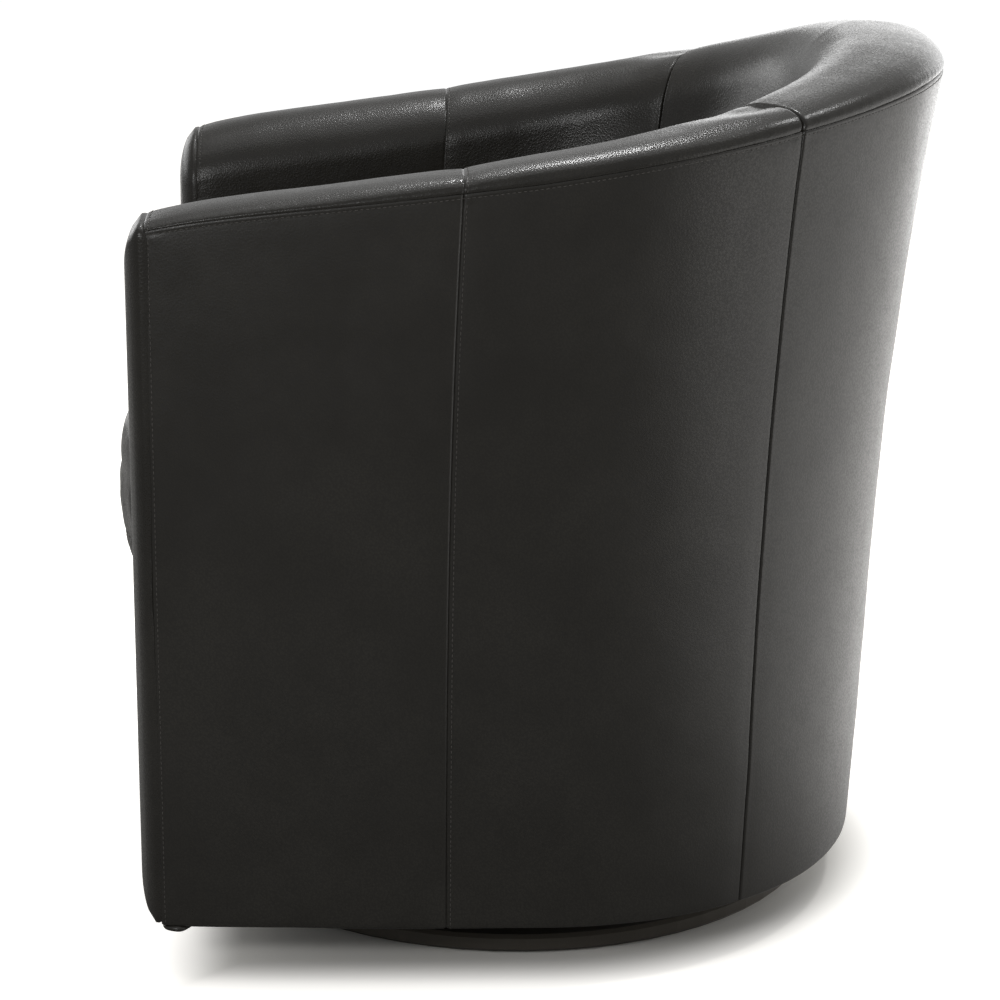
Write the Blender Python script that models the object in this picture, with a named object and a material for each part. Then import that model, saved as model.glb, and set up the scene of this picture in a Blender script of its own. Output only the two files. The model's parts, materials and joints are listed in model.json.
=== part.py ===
"""Swivel club chair: an upholstered tub on a round base, turning on a ball-bearing plate.

The floor is z = 0, the swivel axis is the Z axis and the sitter faces -Y. The wall of the tub is
a U seen from above. A station runs along it: 0 is the middle of the back, 1 is where the arm
begins, 2 is the arm's front, and the other side counts negative. Each layer of the wall is given
as depths inwards from the leather's outer face, so that the layers always lie on each other.
"""

import bisect
import math

import bmesh
import bpy
from mathutils import Vector

# Clearances
GAP = 0.0003
RACE_CLEARANCE = 0.0005

# Outer face of the tub, at its bottom edge and at the height of the back's top seam
BOTTOM_HALF_WIDTH = 0.3355
TOP_HALF_WIDTH = 0.341
BOTTOM_BACK_REACH = 0.313
TOP_BACK_REACH = 0.368
ARM_REACH = 0.303
ARM_TAPER = 0.0125
CORNER_SQUARENESS = 2.2
BACK_HOLLOW = 1.2
BACK_HOLLOW_POWER = 1.5
REAR_SEAM_ANGLE = 33.0
MIDDLE_SEAM_REACH = 0.069
MIDDLE_SEAM_LEAN = 0.016

# Heights of the tub
BOTTOM_EDGE = 0.049
FRONT_SEAM_HEIGHT = 0.632
FRONT_SEAM_DROOP = 0.007
FRONT_SEAM_DROOP_POWER = 8
BACK_SEAM_HEIGHT = 0.732
SEAM_RISE_BIAS = 0.45
FRONT_ROLL_RISE = 0.006
MIDDLE_ROLL_RISE = 0.015
BACK_ROLL_RISE = 0.030
ROLL_DROP = 0.050

# Thickness of the wall, and where the roll is highest
ARM_THICKNESS = 0.095
BACK_TOP_THICKNESS = 0.118
BACK_SEAT_THICKNESS = 0.158
ARM_ROLL_CREST = 0.043
BACK_ROLL_CREST = 0.066

# Layers of the wall
LEATHER = 0.002
BACKING_BOARD = 0.003
FRAME_DEPTH = 0.045
POST_WIDTH = 0.045
RAIL_HEIGHT = 0.040
RAIL_BELOW_SEAM = 0.004
HEM_WIDTH = 0.022

# Frame and seat
BOTTOM_BOARD_THICKNESS = 0.018
SEAT_RAIL_TOP = 0.286
SEAT_RAIL_HEIGHT = 0.085
SEAT_RAIL_THICKNESS = 0.022
FRONT_RAIL_SETBACK = 0.015
BACK_RAIL_REACH = 0.150
SPRING_COUNT = 5
SPRING_SPACING = 0.088
SPRING_WIRE = 0.0038
SPRING_WAVE = 0.021
SPRING_BENDS = 15
SPRING_BEND_FLAT = 0.7
CLIP_METAL = 0.0012
CLIP_DEPTH = 0.0155
CLIP_LIP_SHARE = 0.6
CLIP_SETBACK = 0.0033
CLIP_OVERHANG = 0.004
DECK_PAD_THICKNESS = 0.006
DUST_CLOTH = 0.0008

# Seat cushion
CUSHION_FRONT_REACH = 0.359
CUSHION_FRONT_CURVE = 1.1
CUSHION_SIDE_HEIGHT = 0.128
CUSHION_CROWN = 0.026
CUSHION_WALL_CLEARANCE = 0.0008
CUSHION_EDGE_DRAW = 0.011
CUSHION_LEATHER = 0.0015
# Pairs of share of the side height and share of the edge draw, from the bottom up
CUSHION_SIDE = ((0.0, 1.6), (0.12, 0.7), (0.4, 0.0), (0.7, 0.1), (0.9, 0.75), (1.0, 2.0))
CUSHION_CROWN_RINGS = (0.72, 0.4, 0.15)

# Padded fronts of the arms
FACING_BULGE = 0.019
FACING_LAST_LOOP = 0.88

# Base
BASE_RADIUS = 0.281
BASE_THICKNESS = 0.0155
BASE_EDGE_ROUND = 0.003
GLIDE_HEIGHT = 0.0025
GLIDE_RADIUS = 0.016
GLIDE_FOOT_RADIUS = 0.0144
GLIDE_REACH = 0.235
GLIDE_COUNT = 4

# Swivel bearing
PLATE_METAL = 0.0025
PLATEAU_METAL = 0.004
FLANGE_RADIUS = 0.105
BOSS_RADIUS = 0.080
BOSS_SLOPE = 0.008
BALL_CIRCLE_RADIUS = 0.060
BALL_RADIUS = 0.005
BALL_COUNT = 8
RACE_DEPTH = 0.002
CAGE_WIDTH = 0.015
CAGE_THICKNESS = 0.0014
PIN_RADIUS = 0.006
PIN_HEAD_RADIUS = 0.012
PIN_HEAD_THICKNESS = 0.003
SCREW_COUNT = 4
SCREW_CIRCLE_RADIUS = 0.093
SCREW_RADIUS = 0.002
SCREW_LENGTH = 0.012
SCREW_HEAD_RADIUS = 0.0045
SCREW_HEAD_THICKNESS = 0.0025
SCREW_HEAD_CHAMFER = 0.0015
SCREW_TIP = 0.004

# How finely the shapes are divided, and when two stations count as one
STATION_SAME = 1e-4
REAR_STEPS = 7
SIDE_STEPS = 4
ARM_STEPS = 4
HEIGHT_STEPS = 4
OUTER_ROLL_STEPS = 3
INNER_ROLL_STEPS = 4
CUSHION_FRONT_STEPS = 10
FACING_LOOPS = 4
CLOTH_FRONT_STEPS = 12
ROUND_SEGMENTS = 32
RIM_SEGMENTS = 64

# Values that follow from those above
BOARD_DEPTH = LEATHER + GAP
FRAME_START = BOARD_DEPTH + BACKING_BOARD + GAP
FRAME_END = FRAME_START + FRAME_DEPTH
REAR_SEAM = 1.0 - REAR_SEAM_ANGLE / 90.0
MIDDLE_SEAM = 1.0 + MIDDLE_SEAM_REACH / ARM_REACH
BOARD_BOTTOM = BOTTOM_EDGE + LEATHER + GAP
BOARD_TOP = BOARD_BOTTOM + BOTTOM_BOARD_THICKNESS
DECK_BOTTOM = SEAT_RAIL_TOP + GAP + 2 * CLIP_METAL + SPRING_WIRE + 3 * GAP
DECK_TOP = DECK_BOTTOM + DECK_PAD_THICKNESS
INSIDE_BOTTOM = DECK_BOTTOM
RAIL_FACE = -ARM_REACH + FRONT_RAIL_SETBACK
BASE_TOP = GLIDE_HEIGHT + GAP + BASE_THICKNESS


def level_height(level):
    """Height of one of the levels at which the outer face may change its slope."""
    return BOTTOM_EDGE + (BACK_SEAM_HEIGHT - BOTTOM_EDGE) * level / HEIGHT_STEPS


def between_levels(height, rule):
    """Value of a rule of the height's share, taken at the levels and straight between them."""
    share = (height - BOTTOM_EDGE) / (BACK_SEAM_HEIGHT - BOTTOM_EDGE)
    place = min(max(share, 0.0), 1.0) * HEIGHT_STEPS
    lower = min(int(place), HEIGHT_STEPS - 1)
    low, high = rule(lower / HEIGHT_STEPS), rule((lower + 1) / HEIGHT_STEPS)
    return low + (high - low) * (place - lower)


def rake(height):
    """How far the outline has gone from its bottom shape (0) to its top shape (1)."""
    return between_levels(height, lambda part: part - BACK_HOLLOW * part**BACK_HOLLOW_POWER * (1.0 - part))


def outline(station, height):
    """Point of the leather's outer face, from the formula of the U."""
    blend = rake(height)
    half_width = BOTTOM_HALF_WIDTH + (TOP_HALF_WIDTH - BOTTOM_HALF_WIDTH) * blend
    reach = BOTTOM_BACK_REACH + (TOP_BACK_REACH - BOTTOM_BACK_REACH) * blend
    side = math.copysign(1.0, station)
    along_u = abs(station)
    if along_u >= 1.0:
        forward = along_u - 1.0
        seam = MIDDLE_SEAM - 1.0
        weight = forward * (1.0 - forward) / (seam * (1.0 - seam))
        lean = MIDDLE_SEAM_LEAN * weight * between_levels(height, lambda part: part**3)
        forward -= lean / ARM_REACH
        return Vector((side * (half_width - ARM_TAPER * forward**2), -ARM_REACH * forward, height))
    angle = math.radians(90.0 * (1.0 - along_u))
    power = 2.0 / CORNER_SQUARENESS
    across = half_width * max(math.cos(angle), 0.0) ** power
    return Vector((side * across, reach * math.sin(angle) ** power, height))


def outward(station):
    """Direction out of the wall, level with the floor."""
    if abs(station) >= 1.0:
        return Vector((math.copysign(1.0, station), 0.0, 0.0))
    if station == 0.0:
        return Vector((0.0, 1.0, 0.0))
    step = 0.01
    middle = level_height(HEIGHT_STEPS / 2)
    chord = outline(station + step, middle) - outline(station - step, middle)
    return Vector((-chord.y, chord.x, 0.0)).normalized()


def half_stations():
    """Stations of one side, from the middle of the back to the front."""
    breaks = ((0.0, REAR_SEAM, REAR_STEPS), (REAR_SEAM, 1.0, SIDE_STEPS), (1.0, MIDDLE_SEAM, 1),
              (MIDDLE_SEAM, 2.0, ARM_STEPS))
    found = [0.0]
    for first, last, steps in breaks:
        for step in range(1, steps + 1):
            found.append(first + (last - first) * step / steps)
    return found


HALF = half_stations()
STATIONS = [-station for station in reversed(HALF[1:])] + HALF


def on_wall(station, section):
    """Points of the wall at a station, where section(station) lists pairs of depth and height.

    The section is taken only at the fixed stations, and lies flat between them in every layer.
    """
    index = min(max(bisect.bisect_right(STATIONS, station) - 1, 0), len(STATIONS) - 2)
    share = (station - STATIONS[index]) / (STATIONS[index + 1] - STATIONS[index])
    ends = []
    for fixed in STATIONS[index:index + 2]:
        ends.append([outline(fixed, height) - outward(fixed) * depth for depth, height in section(fixed)])
    return [near.lerp(far, share) for near, far in zip(*ends)]


def wall_point(station, depth, height):
    """Point of the wall at a depth behind its outer face."""
    return on_wall(station, lambda fixed: [(depth, height)])[0]


def along(station, distance):
    """The station that lies a distance further round the wall."""
    step = 0.001
    reach = (wall_point(station + step, 0.0, BOTTOM_EDGE) - wall_point(station - step, 0.0, BOTTOM_EDGE)).length
    return station + distance * 2 * step / reach


def back_share(station):
    """0 on the arms, 1 in the middle of the back, with a smooth change between them."""
    share = min(abs(station), MIDDLE_SEAM) / MIDDLE_SEAM
    return 0.5 + 0.5 * math.cos(math.pi * share)


def seam_height(station):
    """Height of the outer top seam, which climbs from the arms' fronts to the back."""
    here = outline(station, BACK_SEAM_HEIGHT).y
    share = (here + ARM_REACH) / (TOP_BACK_REACH + ARM_REACH)
    bent = SEAM_RISE_BIAS * share + (1.0 - SEAM_RISE_BIAS) * share**2
    droop = FRONT_SEAM_DROOP * max(abs(station) - 1.0, 0.0) ** FRONT_SEAM_DROOP_POWER
    return FRONT_SEAM_HEIGHT + (BACK_SEAM_HEIGHT - FRONT_SEAM_HEIGHT) * bent - droop


def roll_rise(station):
    """Height of the roll over the outer seam."""
    along_u = abs(station)
    if along_u >= 1.0:
        return MIDDLE_ROLL_RISE + (FRONT_ROLL_RISE - MIDDLE_ROLL_RISE) * (along_u - 1.0)
    return MIDDLE_ROLL_RISE + (BACK_ROLL_RISE - MIDDLE_ROLL_RISE) * (1.0 - along_u) ** 2


def mixed(station, arm_value, back_value):
    """The arm's value on the arms, changing smoothly to the back's value."""
    return arm_value + (back_value - arm_value) * back_share(station)


def thickness(station, height):
    """Depth of the inner leather's face, which leans back more than the outer face at the back."""
    top = mixed(station, ARM_THICKNESS, BACK_TOP_THICKNESS)
    seat = mixed(station, ARM_THICKNESS, BACK_SEAT_THICKNESS)
    crest = seam_height(station) - ROLL_DROP
    share = (crest - height) / (crest - INSIDE_BOTTOM)
    return top + (seat - top) * min(max(share, 0.0), 1.0)


def inner_face(station, height, away):
    """Place in plan, as a list of one point, that lies away from the inner leather's face."""
    return [point.xy for point in on_wall(station, lambda fixed: [(thickness(fixed, height) + away, height)])]


def levels_between(low, high):
    """Heights of the levels strictly between two heights, going up."""
    found = [level_height(level) for level in range(1, HEIGHT_STEPS)]
    return [height for height in found if low + GAP < height < high - GAP]


def cover_line(station, inset):
    """Section of the leather from its outer seam over the roll and down the inside, as (depth, height)."""
    seam = seam_height(station)
    rise = roll_rise(station)
    crest = mixed(station, ARM_ROLL_CREST, BACK_ROLL_CREST)
    shoulder = seam + rise - ROLL_DROP
    inner = thickness(station, shoulder) - inset
    line = []
    for step in range(OUTER_ROLL_STEPS + 1):
        angle = math.pi / 2 * step / OUTER_ROLL_STEPS
        depth = crest - (crest - inset) * math.cos(angle)
        line.append((depth, seam + GAP + (rise - inset) * math.sin(angle)))
    for step in range(1, INNER_ROLL_STEPS + 1):
        angle = math.pi / 2 * step / INNER_ROLL_STEPS
        depth = crest + (inner - crest) * math.sin(angle)
        line.append((depth, shoulder + (ROLL_DROP - inset) * math.cos(angle)))
    for height in reversed(levels_between(INSIDE_BOTTOM, FRONT_SEAM_HEIGHT - ROLL_DROP)):
        line.append((thickness(station, height) - inset, height))
    line.append((thickness(station, INSIDE_BOTTOM) - inset, INSIDE_BOTTOM))
    return line


def upright(depth, low, high):
    """Section line straight up the wall at one depth, with a corner at each level under the roll."""
    levels = levels_between(low, FRONT_SEAM_HEIGHT - ROLL_DROP)
    return [(depth, low)] + [(depth, height) for height in levels] + [(depth, high)]


def material(name, colour, roughness, metallic=0.0):
    """Plain finish of one kind of piece."""
    made = bpy.data.materials.new(name)
    made.use_nodes = True
    shader = made.node_tree.nodes["Principled BSDF"]
    shader.inputs["Base Color"].default_value = (*colour, 1.0)
    shader.inputs["Roughness"].default_value = roughness
    shader.inputs["Metallic"].default_value = metallic
    made.diffuse_color = (*colour, 1.0)
    return made


def add_object(name, shape, finish, parent, smooth=True):
    """Makes the object of a finished bmesh and hangs it under its body."""
    bmesh.ops.recalc_face_normals(shape, faces=shape.faces)
    mesh = bpy.data.meshes.new(name)
    shape.to_mesh(mesh)
    shape.free()
    mesh.materials.append(finish)
    if smooth:
        mesh.shade_smooth()
        mesh.set_sharp_from_angle(angle=math.radians(35))
    made = bpy.data.objects.new(name, mesh)
    bpy.context.scene.collection.objects.link(made)
    made.parent = parent
    return made


def wall_piece(name, finish, parent, start, end, section):
    """A piece that follows the wall. section(station) gives its outer and its inner line."""
    shape = bmesh.new()
    inside = [station for station in STATIONS if start + STATION_SAME < station < end - STATION_SAME]
    rows = []
    for station in [start, *inside, end]:
        lines = [on_wall(station, lambda fixed, side=side: section(fixed)[side]) for side in (0, 1)]
        rows.append([[shape.verts.new(point) for point in line] for line in lines])
    for near, far in zip(rows, rows[1:]):
        for side in (0, 1):
            for i in range(len(near[side]) - 1):
                shape.faces.new((near[side][i], near[side][i + 1], far[side][i + 1], far[side][i]))
        for i in (0, -1):
            shape.faces.new((near[0][i], near[1][i], far[1][i], far[0][i]))
    for outer, inner in (rows[0], rows[-1]):
        for i in range(len(outer) - 1):
            shape.faces.new((outer[i], outer[i + 1], inner[i + 1], inner[i]))
    return add_object(name, shape, finish, parent)


def box(name, finish, parent, low, high):
    """A straight board between two corners."""
    shape = bmesh.new()
    bmesh.ops.create_cube(shape, size=1.0)
    size = Vector(high) - Vector(low)
    middle = (Vector(high) + Vector(low)) / 2
    for vertex in shape.verts:
        vertex.co = Vector(a * b for a, b in zip(vertex.co, size)) + middle
    return add_object(name, shape, finish, parent, smooth=False)


def turned(name, finish, parent, profile, segments, closed=True):
    """A round piece on the swivel axis, from its (radius, height) profile."""
    shape = bmesh.new()
    corners = [shape.verts.new((radius, 0.0, height)) for radius, height in profile]
    edges = [shape.edges.new(pair) for pair in zip(corners, corners[1:])]
    if closed:
        edges.append(shape.edges.new((corners[-1], corners[0])))
    bmesh.ops.spin(shape, geom=corners + edges, axis=(0, 0, 1), cent=(0, 0, 0),
                   angle=math.tau, steps=segments, use_merge=True)
    bmesh.ops.remove_doubles(shape, verts=shape.verts, dist=1e-6)
    return add_object(name, shape, finish, parent)


def sheet_with_outline(name, finish, parent, corners, low, high, hole_radius=0.0):
    """A level board or cloth with the outline given, and a round hole on the axis if it has one."""
    shape = bmesh.new()
    rings = []
    for height in (low, high):
        outer = [shape.verts.new((x, y, height)) for x, y in corners]
        inner = []
        if hole_radius:
            for x, y in corners:
                scale = hole_radius / math.hypot(x, y)
                inner.append(shape.verts.new((x * scale, y * scale, height)))
        rings.append((outer, inner))
    (outer_low, inner_low), (outer_high, inner_high) = rings
    count = len(corners)
    for i in range(count):
        j = (i + 1) % count
        shape.faces.new((outer_low[i], outer_low[j], outer_high[j], outer_high[i]))
        if hole_radius:
            shape.faces.new((inner_low[i], inner_low[j], inner_high[j], inner_high[i]))
            shape.faces.new((outer_low[i], outer_low[j], inner_low[j], inner_low[i]))
            shape.faces.new((outer_high[i], outer_high[j], inner_high[j], inner_high[i]))
    if not hole_radius:
        shape.faces.new(outer_low)
        shape.faces.new(outer_high)
    return add_object(name, shape, finish, parent, smooth=False)


def drill(board, centres, radius, low, high):
    """Cuts a round hole down through a board at each centre."""
    cut = bmesh.new()
    for x, y in centres:
        made = bmesh.ops.create_cone(cut, cap_ends=True, segments=10, radius1=radius, radius2=radius,
                                     depth=high - low)
        bmesh.ops.translate(cut, verts=made["verts"], vec=(x, y, (low + high) / 2))
    mesh = bpy.data.meshes.new(board.name + "_holes")
    cut.to_mesh(mesh)
    cut.free()
    cutter = bpy.data.objects.new(board.name + "_holes", mesh)
    bpy.context.scene.collection.objects.link(cutter)
    cutter.hide_render = True
    cutter.display_type = "WIRE"
    cutter.parent = board.parent
    modifier = board.modifiers.new("holes", "BOOLEAN")
    modifier.operation = "DIFFERENCE"
    modifier.object = cutter


def ring_places(count, radius, turn=0.0):
    """Points evenly round the axis."""
    angles = [turn + math.tau * step / count for step in range(count)]
    return [(radius * math.cos(angle), radius * math.sin(angle)) for angle in angles]


def make_base(finishes, body):
    """The round board with its glides."""
    low = GLIDE_HEIGHT + GAP
    edge = BASE_RADIUS - BASE_EDGE_ROUND
    profile = [(0.0, low), (edge, low), (BASE_RADIUS, low + BASE_EDGE_ROUND),
               (BASE_RADIUS, BASE_TOP - BASE_EDGE_ROUND), (edge, BASE_TOP), (0.0, BASE_TOP)]
    disc = turned("base_disc", finishes["black_wood"], body, profile, RIM_SEGMENTS, closed=False)
    drill(disc, ring_places(SCREW_COUNT, SCREW_CIRCLE_RADIUS, math.pi / 4), SCREW_RADIUS + GAP,
          BASE_TOP - SCREW_LENGTH, BASE_TOP + SCREW_LENGTH)
    for number, (x, y) in enumerate(ring_places(GLIDE_COUNT, GLIDE_REACH, math.pi / 4), 1):
        shape = bmesh.new()
        bmesh.ops.create_cone(shape, cap_ends=True, segments=16, radius1=GLIDE_FOOT_RADIUS,
                              radius2=GLIDE_RADIUS, depth=GLIDE_HEIGHT)
        glide = add_object(f"base_glide_{number}", shape, finishes["nylon"], body)
        glide.location = (x, y, GLIDE_HEIGHT / 2)


def bearing_heights():
    """Top of the lower plateau, the balls' middle and the underside of the upper plateau."""
    low, high = BASE_TOP + GAP, BOARD_BOTTOM - GAP
    middle = (low + high) / 2
    half_space = BALL_RADIUS - RACE_DEPTH + RACE_CLEARANCE
    return low, middle - half_space, middle, middle + half_space, high


def plate_profile(sign, flange, plateau, middle):
    """Section of a pressed plate with its ball race. sign is 1 for the lower plate, -1 for the upper."""
    metal = sign * PLATE_METAL
    behind = plateau - sign * PLATEAU_METAL
    race = BALL_RADIUS + RACE_CLEARANCE
    spread = math.acos(min((middle - plateau) * sign / race, 1.0))
    hole = PIN_RADIUS + RACE_CLEARANCE
    profile = [(hole, plateau)]
    for step in range(-2, 3):
        angle = spread * step / 2
        profile.append((BALL_CIRCLE_RADIUS + race * math.sin(angle), middle - sign * race * math.cos(angle)))
    top = BOSS_RADIUS - BOSS_SLOPE
    profile += [(top, plateau), (BOSS_RADIUS, flange + metal), (FLANGE_RADIUS, flange + metal),
                (FLANGE_RADIUS, flange), (BOSS_RADIUS - PLATE_METAL, flange),
                (top - PLATE_METAL, behind), (hole, behind)]
    return profile


def make_screws(name, finishes, body, flange_face, sign):
    """Screws through a plate's flange into the board behind it."""
    for number, (x, y) in enumerate(ring_places(SCREW_COUNT, SCREW_CIRCLE_RADIUS, math.pi / 4), 1):
        head = flange_face + sign * GAP
        crown = head + sign * SCREW_HEAD_THICKNESS
        profile = [(0.0, crown), (SCREW_HEAD_RADIUS - SCREW_HEAD_CHAMFER, crown),
                   (SCREW_HEAD_RADIUS, crown - sign * SCREW_HEAD_CHAMFER), (SCREW_HEAD_RADIUS, head),
                   (SCREW_RADIUS, head), (SCREW_RADIUS, head - sign * (SCREW_LENGTH - SCREW_TIP)),
                   (0.0, head - sign * SCREW_LENGTH)]
        screw = turned(f"{name}_{number}", finishes["zinc"], body, profile, 10, closed=False)
        screw.location = (x, y, 0.0)


def make_bearing(finishes, base, ring, tub):
    """The two pressed plates, the caged balls between them, the centre pin and the screws."""
    low, plateau_low, middle, plateau_high, high = bearing_heights()
    lower = turned("lower_swivel_plate", finishes["steel"], base,
                   plate_profile(1, low, plateau_low, middle), ROUND_SEGMENTS)
    upper = turned("upper_swivel_plate", finishes["steel"], tub,
                   plate_profile(-1, high, plateau_high, middle), ROUND_SEGMENTS)
    holes = ring_places(SCREW_COUNT, SCREW_CIRCLE_RADIUS, math.pi / 4)
    drill(lower, holes, SCREW_RADIUS + GAP, low - PLATE_METAL, low + 2 * PLATE_METAL)
    drill(upper, holes, SCREW_RADIUS + GAP, high - 2 * PLATE_METAL, high + PLATE_METAL)
    make_screws("lower_plate_screw", finishes, base, low + PLATE_METAL, 1)
    make_screws("upper_plate_screw", finishes, tub, high - PLATE_METAL, -1)
    under = plateau_low - PLATEAU_METAL - GAP
    over = plateau_high + PLATEAU_METAL + GAP
    turned("swivel_pin", finishes["zinc"], base,
           [(0.0, under - PIN_HEAD_THICKNESS), (PIN_HEAD_RADIUS, under - PIN_HEAD_THICKNESS),
            (PIN_HEAD_RADIUS, under), (PIN_RADIUS, under), (PIN_RADIUS, over), (PIN_HEAD_RADIUS, over),
            (PIN_HEAD_RADIUS, over + PIN_HEAD_THICKNESS), (0.0, over + PIN_HEAD_THICKNESS)], 16, closed=False)
    make_ball_cage(finishes, ring, middle)


def make_ball_cage(finishes, body, middle):
    """The cage and its balls, made one piece because the balls only roll in their pockets."""
    half, wide = CAGE_THICKNESS / 2, CAGE_WIDTH / 2
    cage = turned("ball_cage_ring", finishes["steel"], body,
                  [(BALL_CIRCLE_RADIUS - wide, middle - half), (BALL_CIRCLE_RADIUS + wide, middle - half),
                   (BALL_CIRCLE_RADIUS + wide, middle + half), (BALL_CIRCLE_RADIUS - wide, middle + half)],
                  ROUND_SEGMENTS)
    balls = bmesh.new()
    for x, y in ring_places(BALL_COUNT, BALL_CIRCLE_RADIUS):
        made = bmesh.ops.create_uvsphere(balls, u_segments=8, v_segments=6, radius=BALL_RADIUS)
        bmesh.ops.translate(balls, verts=made["verts"], vec=(x, y, middle))
    mesh = bpy.data.meshes.new("balls")
    balls.to_mesh(mesh)
    balls.free()
    helper = bpy.data.objects.new("balls", mesh)
    bpy.context.scene.collection.objects.link(helper)
    helper.hide_render = True
    helper.display_type = "WIRE"
    helper.parent = body
    union = cage.modifiers.new("balls", "BOOLEAN")
    union.operation = "UNION"
    union.object = helper


def outline_corners(depth, height, reach=2.0):
    """Corners of the U at one depth, from the right front round the back to the left front."""
    stations = [-reach] + [station for station in STATIONS if abs(station) < reach - STATION_SAME] + [reach]
    return [wall_point(station, depth, height).xy for station in stations]


def make_bottom(finishes, body):
    """The plywood board that carries the posts, and the cloth under it."""
    corners = outline_corners(FRAME_START, BOARD_BOTTOM)
    for side in (1, -1):
        inside = wall_point(side * 2.0, FRAME_END, BOARD_BOTTOM)
        notch = [(inside.x, inside.y), (inside.x, RAIL_FACE)]
        corners += notch if side == 1 else notch[::-1]
    board = sheet_with_outline("bottom_board", finishes["plywood"], body, corners, BOARD_BOTTOM, BOARD_TOP)
    drill(board, ring_places(SCREW_COUNT, SCREW_CIRCLE_RADIUS, math.pi / 4), SCREW_RADIUS + GAP,
          BOARD_BOTTOM - SCREW_LENGTH, BOARD_BOTTOM + SCREW_LENGTH)
    hem = HEM_WIDTH / 2
    cloth = outline_corners(hem, BOTTOM_EDGE, reach=2.0 - FRONT_RAIL_SETBACK / ARM_REACH)
    left, right = cloth[-1], cloth[0]
    cloth += [left.lerp(right, step / CLOTH_FRONT_STEPS) for step in range(1, CLOTH_FRONT_STEPS)]
    sheet_with_outline("dust_cover", finishes["black_cloth"], body, cloth,
                       BOTTOM_EDGE - GAP - DUST_CLOTH, BOTTOM_EDGE - GAP, FLANGE_RADIUS + POST_WIDTH / 2)


def make_posts(finishes, body):
    """Posts from the bottom board to the rails under the roll."""
    half = POST_WIDTH / 2
    places = {"back_centre_post": (-half, half, 0.0)}
    for side, word in ((1, "left"), (-1, "right")):
        places[f"rear_post_{word}"] = (-half, half, side * REAR_SEAM)
        places[f"middle_post_{word}"] = (-half, half, side * MIDDLE_SEAM)
        places[f"front_post_{word}"] = (-POST_WIDTH, 0.0, 2.0) if side == 1 else (0.0, POST_WIDTH, -2.0)
    for name, (first, last, station) in places.items():
        def section(here):
            top = seam_height(here) - RAIL_BELOW_SEAM - RAIL_HEIGHT - 2 * GAP
            return upright(FRAME_START, BOARD_TOP + GAP, top), upright(FRAME_END, BOARD_TOP + GAP, top)
        wall_piece(name, finishes["hardwood"], body, along(station, first), along(station, last), section)


def make_top_rails(finishes, body):
    """Bent rails under the roll, in three lengths that meet on the rear posts."""
    def section(here):
        top = seam_height(here) - RAIL_BELOW_SEAM
        low = top - RAIL_HEIGHT
        return [(FRAME_START, low), (FRAME_START, top)], [(FRAME_END, low), (FRAME_END, top)]
    joint = along(REAR_SEAM, GAP / 2)
    before = along(REAR_SEAM, -GAP / 2)
    wall_piece("back_top_rail", finishes["hardwood"], body, -before, before, section)
    wall_piece("arm_top_rail_left", finishes["hardwood"], body, joint, 2.0, section)
    wall_piece("arm_top_rail_right", finishes["hardwood"], body, -2.0, -joint, section)


def make_seat_frame(finishes, body):
    """The rails round the seat, the clip strips, the springs and the felt over them."""
    low = SEAT_RAIL_TOP - SEAT_RAIL_HEIGHT
    front_inside = wall_point(2.0, FRAME_END, low).x - GAP
    box("seat_front_rail", finishes["hardwood"], body, (-front_inside, RAIL_FACE, low),
        (front_inside, RAIL_FACE + SEAT_RAIL_THICKNESS, SEAT_RAIL_TOP))
    start = FRAME_END + GAP
    end = start + SEAT_RAIL_THICKNESS

    def section(here):
        top = INSIDE_BOTTOM - GAP
        return [(start, low), (start, top)], [(end, low), (end, top)]
    rear = along(REAR_SEAM, -POST_WIDTH / 2)
    front = along(2.0, -FRONT_RAIL_SETBACK - SEAT_RAIL_THICKNESS - GAP)
    wall_piece("seat_side_rail_left", finishes["hardwood"], body, rear, front, section)
    wall_piece("seat_side_rail_right", finishes["hardwood"], body, -front, -rear, section)
    make_back_rail(finishes, body, end, low)
    make_springs(finishes, body)
    make_deck_pad(finishes, body)


def inside_at(depth, reach, height):
    """How far from the middle the wall's face at a depth is, at a distance behind the axis."""
    near, far = 0.0, 1.0
    for _ in range(30):
        middle = (near + far) / 2
        if wall_point(middle, depth, height).y > reach:
            near = middle
        else:
            far = middle
    return wall_point(near, depth, height).x


def make_back_rail(finishes, body, depth, low):
    """The rail behind the springs, with ends that fit the curve of the side rails."""
    shape = bmesh.new()
    rings = []
    for height in (low, SEAT_RAIL_TOP):
        front, back = BACK_RAIL_REACH, BACK_RAIL_REACH + SEAT_RAIL_THICKNESS
        wide, narrow = [inside_at(depth, reach, height) - 2 * GAP for reach in (front, back)]
        corners = [(-wide, front), (wide, front), (narrow, back), (-narrow, back)]
        rings.append([shape.verts.new((x, y, height)) for x, y in corners])
    for i in range(4):
        j = (i + 1) % 4
        shape.faces.new((rings[0][i], rings[0][j], rings[1][j], rings[1][i]))
    for ring in rings:
        shape.faces.new(ring)
    add_object("seat_back_rail", shape, finishes["hardwood"], body, smooth=False)


def clip_section(side):
    """Folded strip that holds a wire: flat on the rail, then up and back over the wire."""
    tail = CLIP_DEPTH
    low = SEAT_RAIL_TOP + GAP
    inside = SPRING_WIRE + 2 * GAP
    top = low + 2 * CLIP_METAL + inside
    fold = CLIP_METAL
    lip = tail * CLIP_LIP_SHARE
    points = [(tail, low), (0.0, low), (0.0, top), (lip, top), (lip, top - fold), (fold, top - fold),
              (fold, low + fold), (tail, low + fold)]
    return [(side * y, z) for y, z in points]


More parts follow.
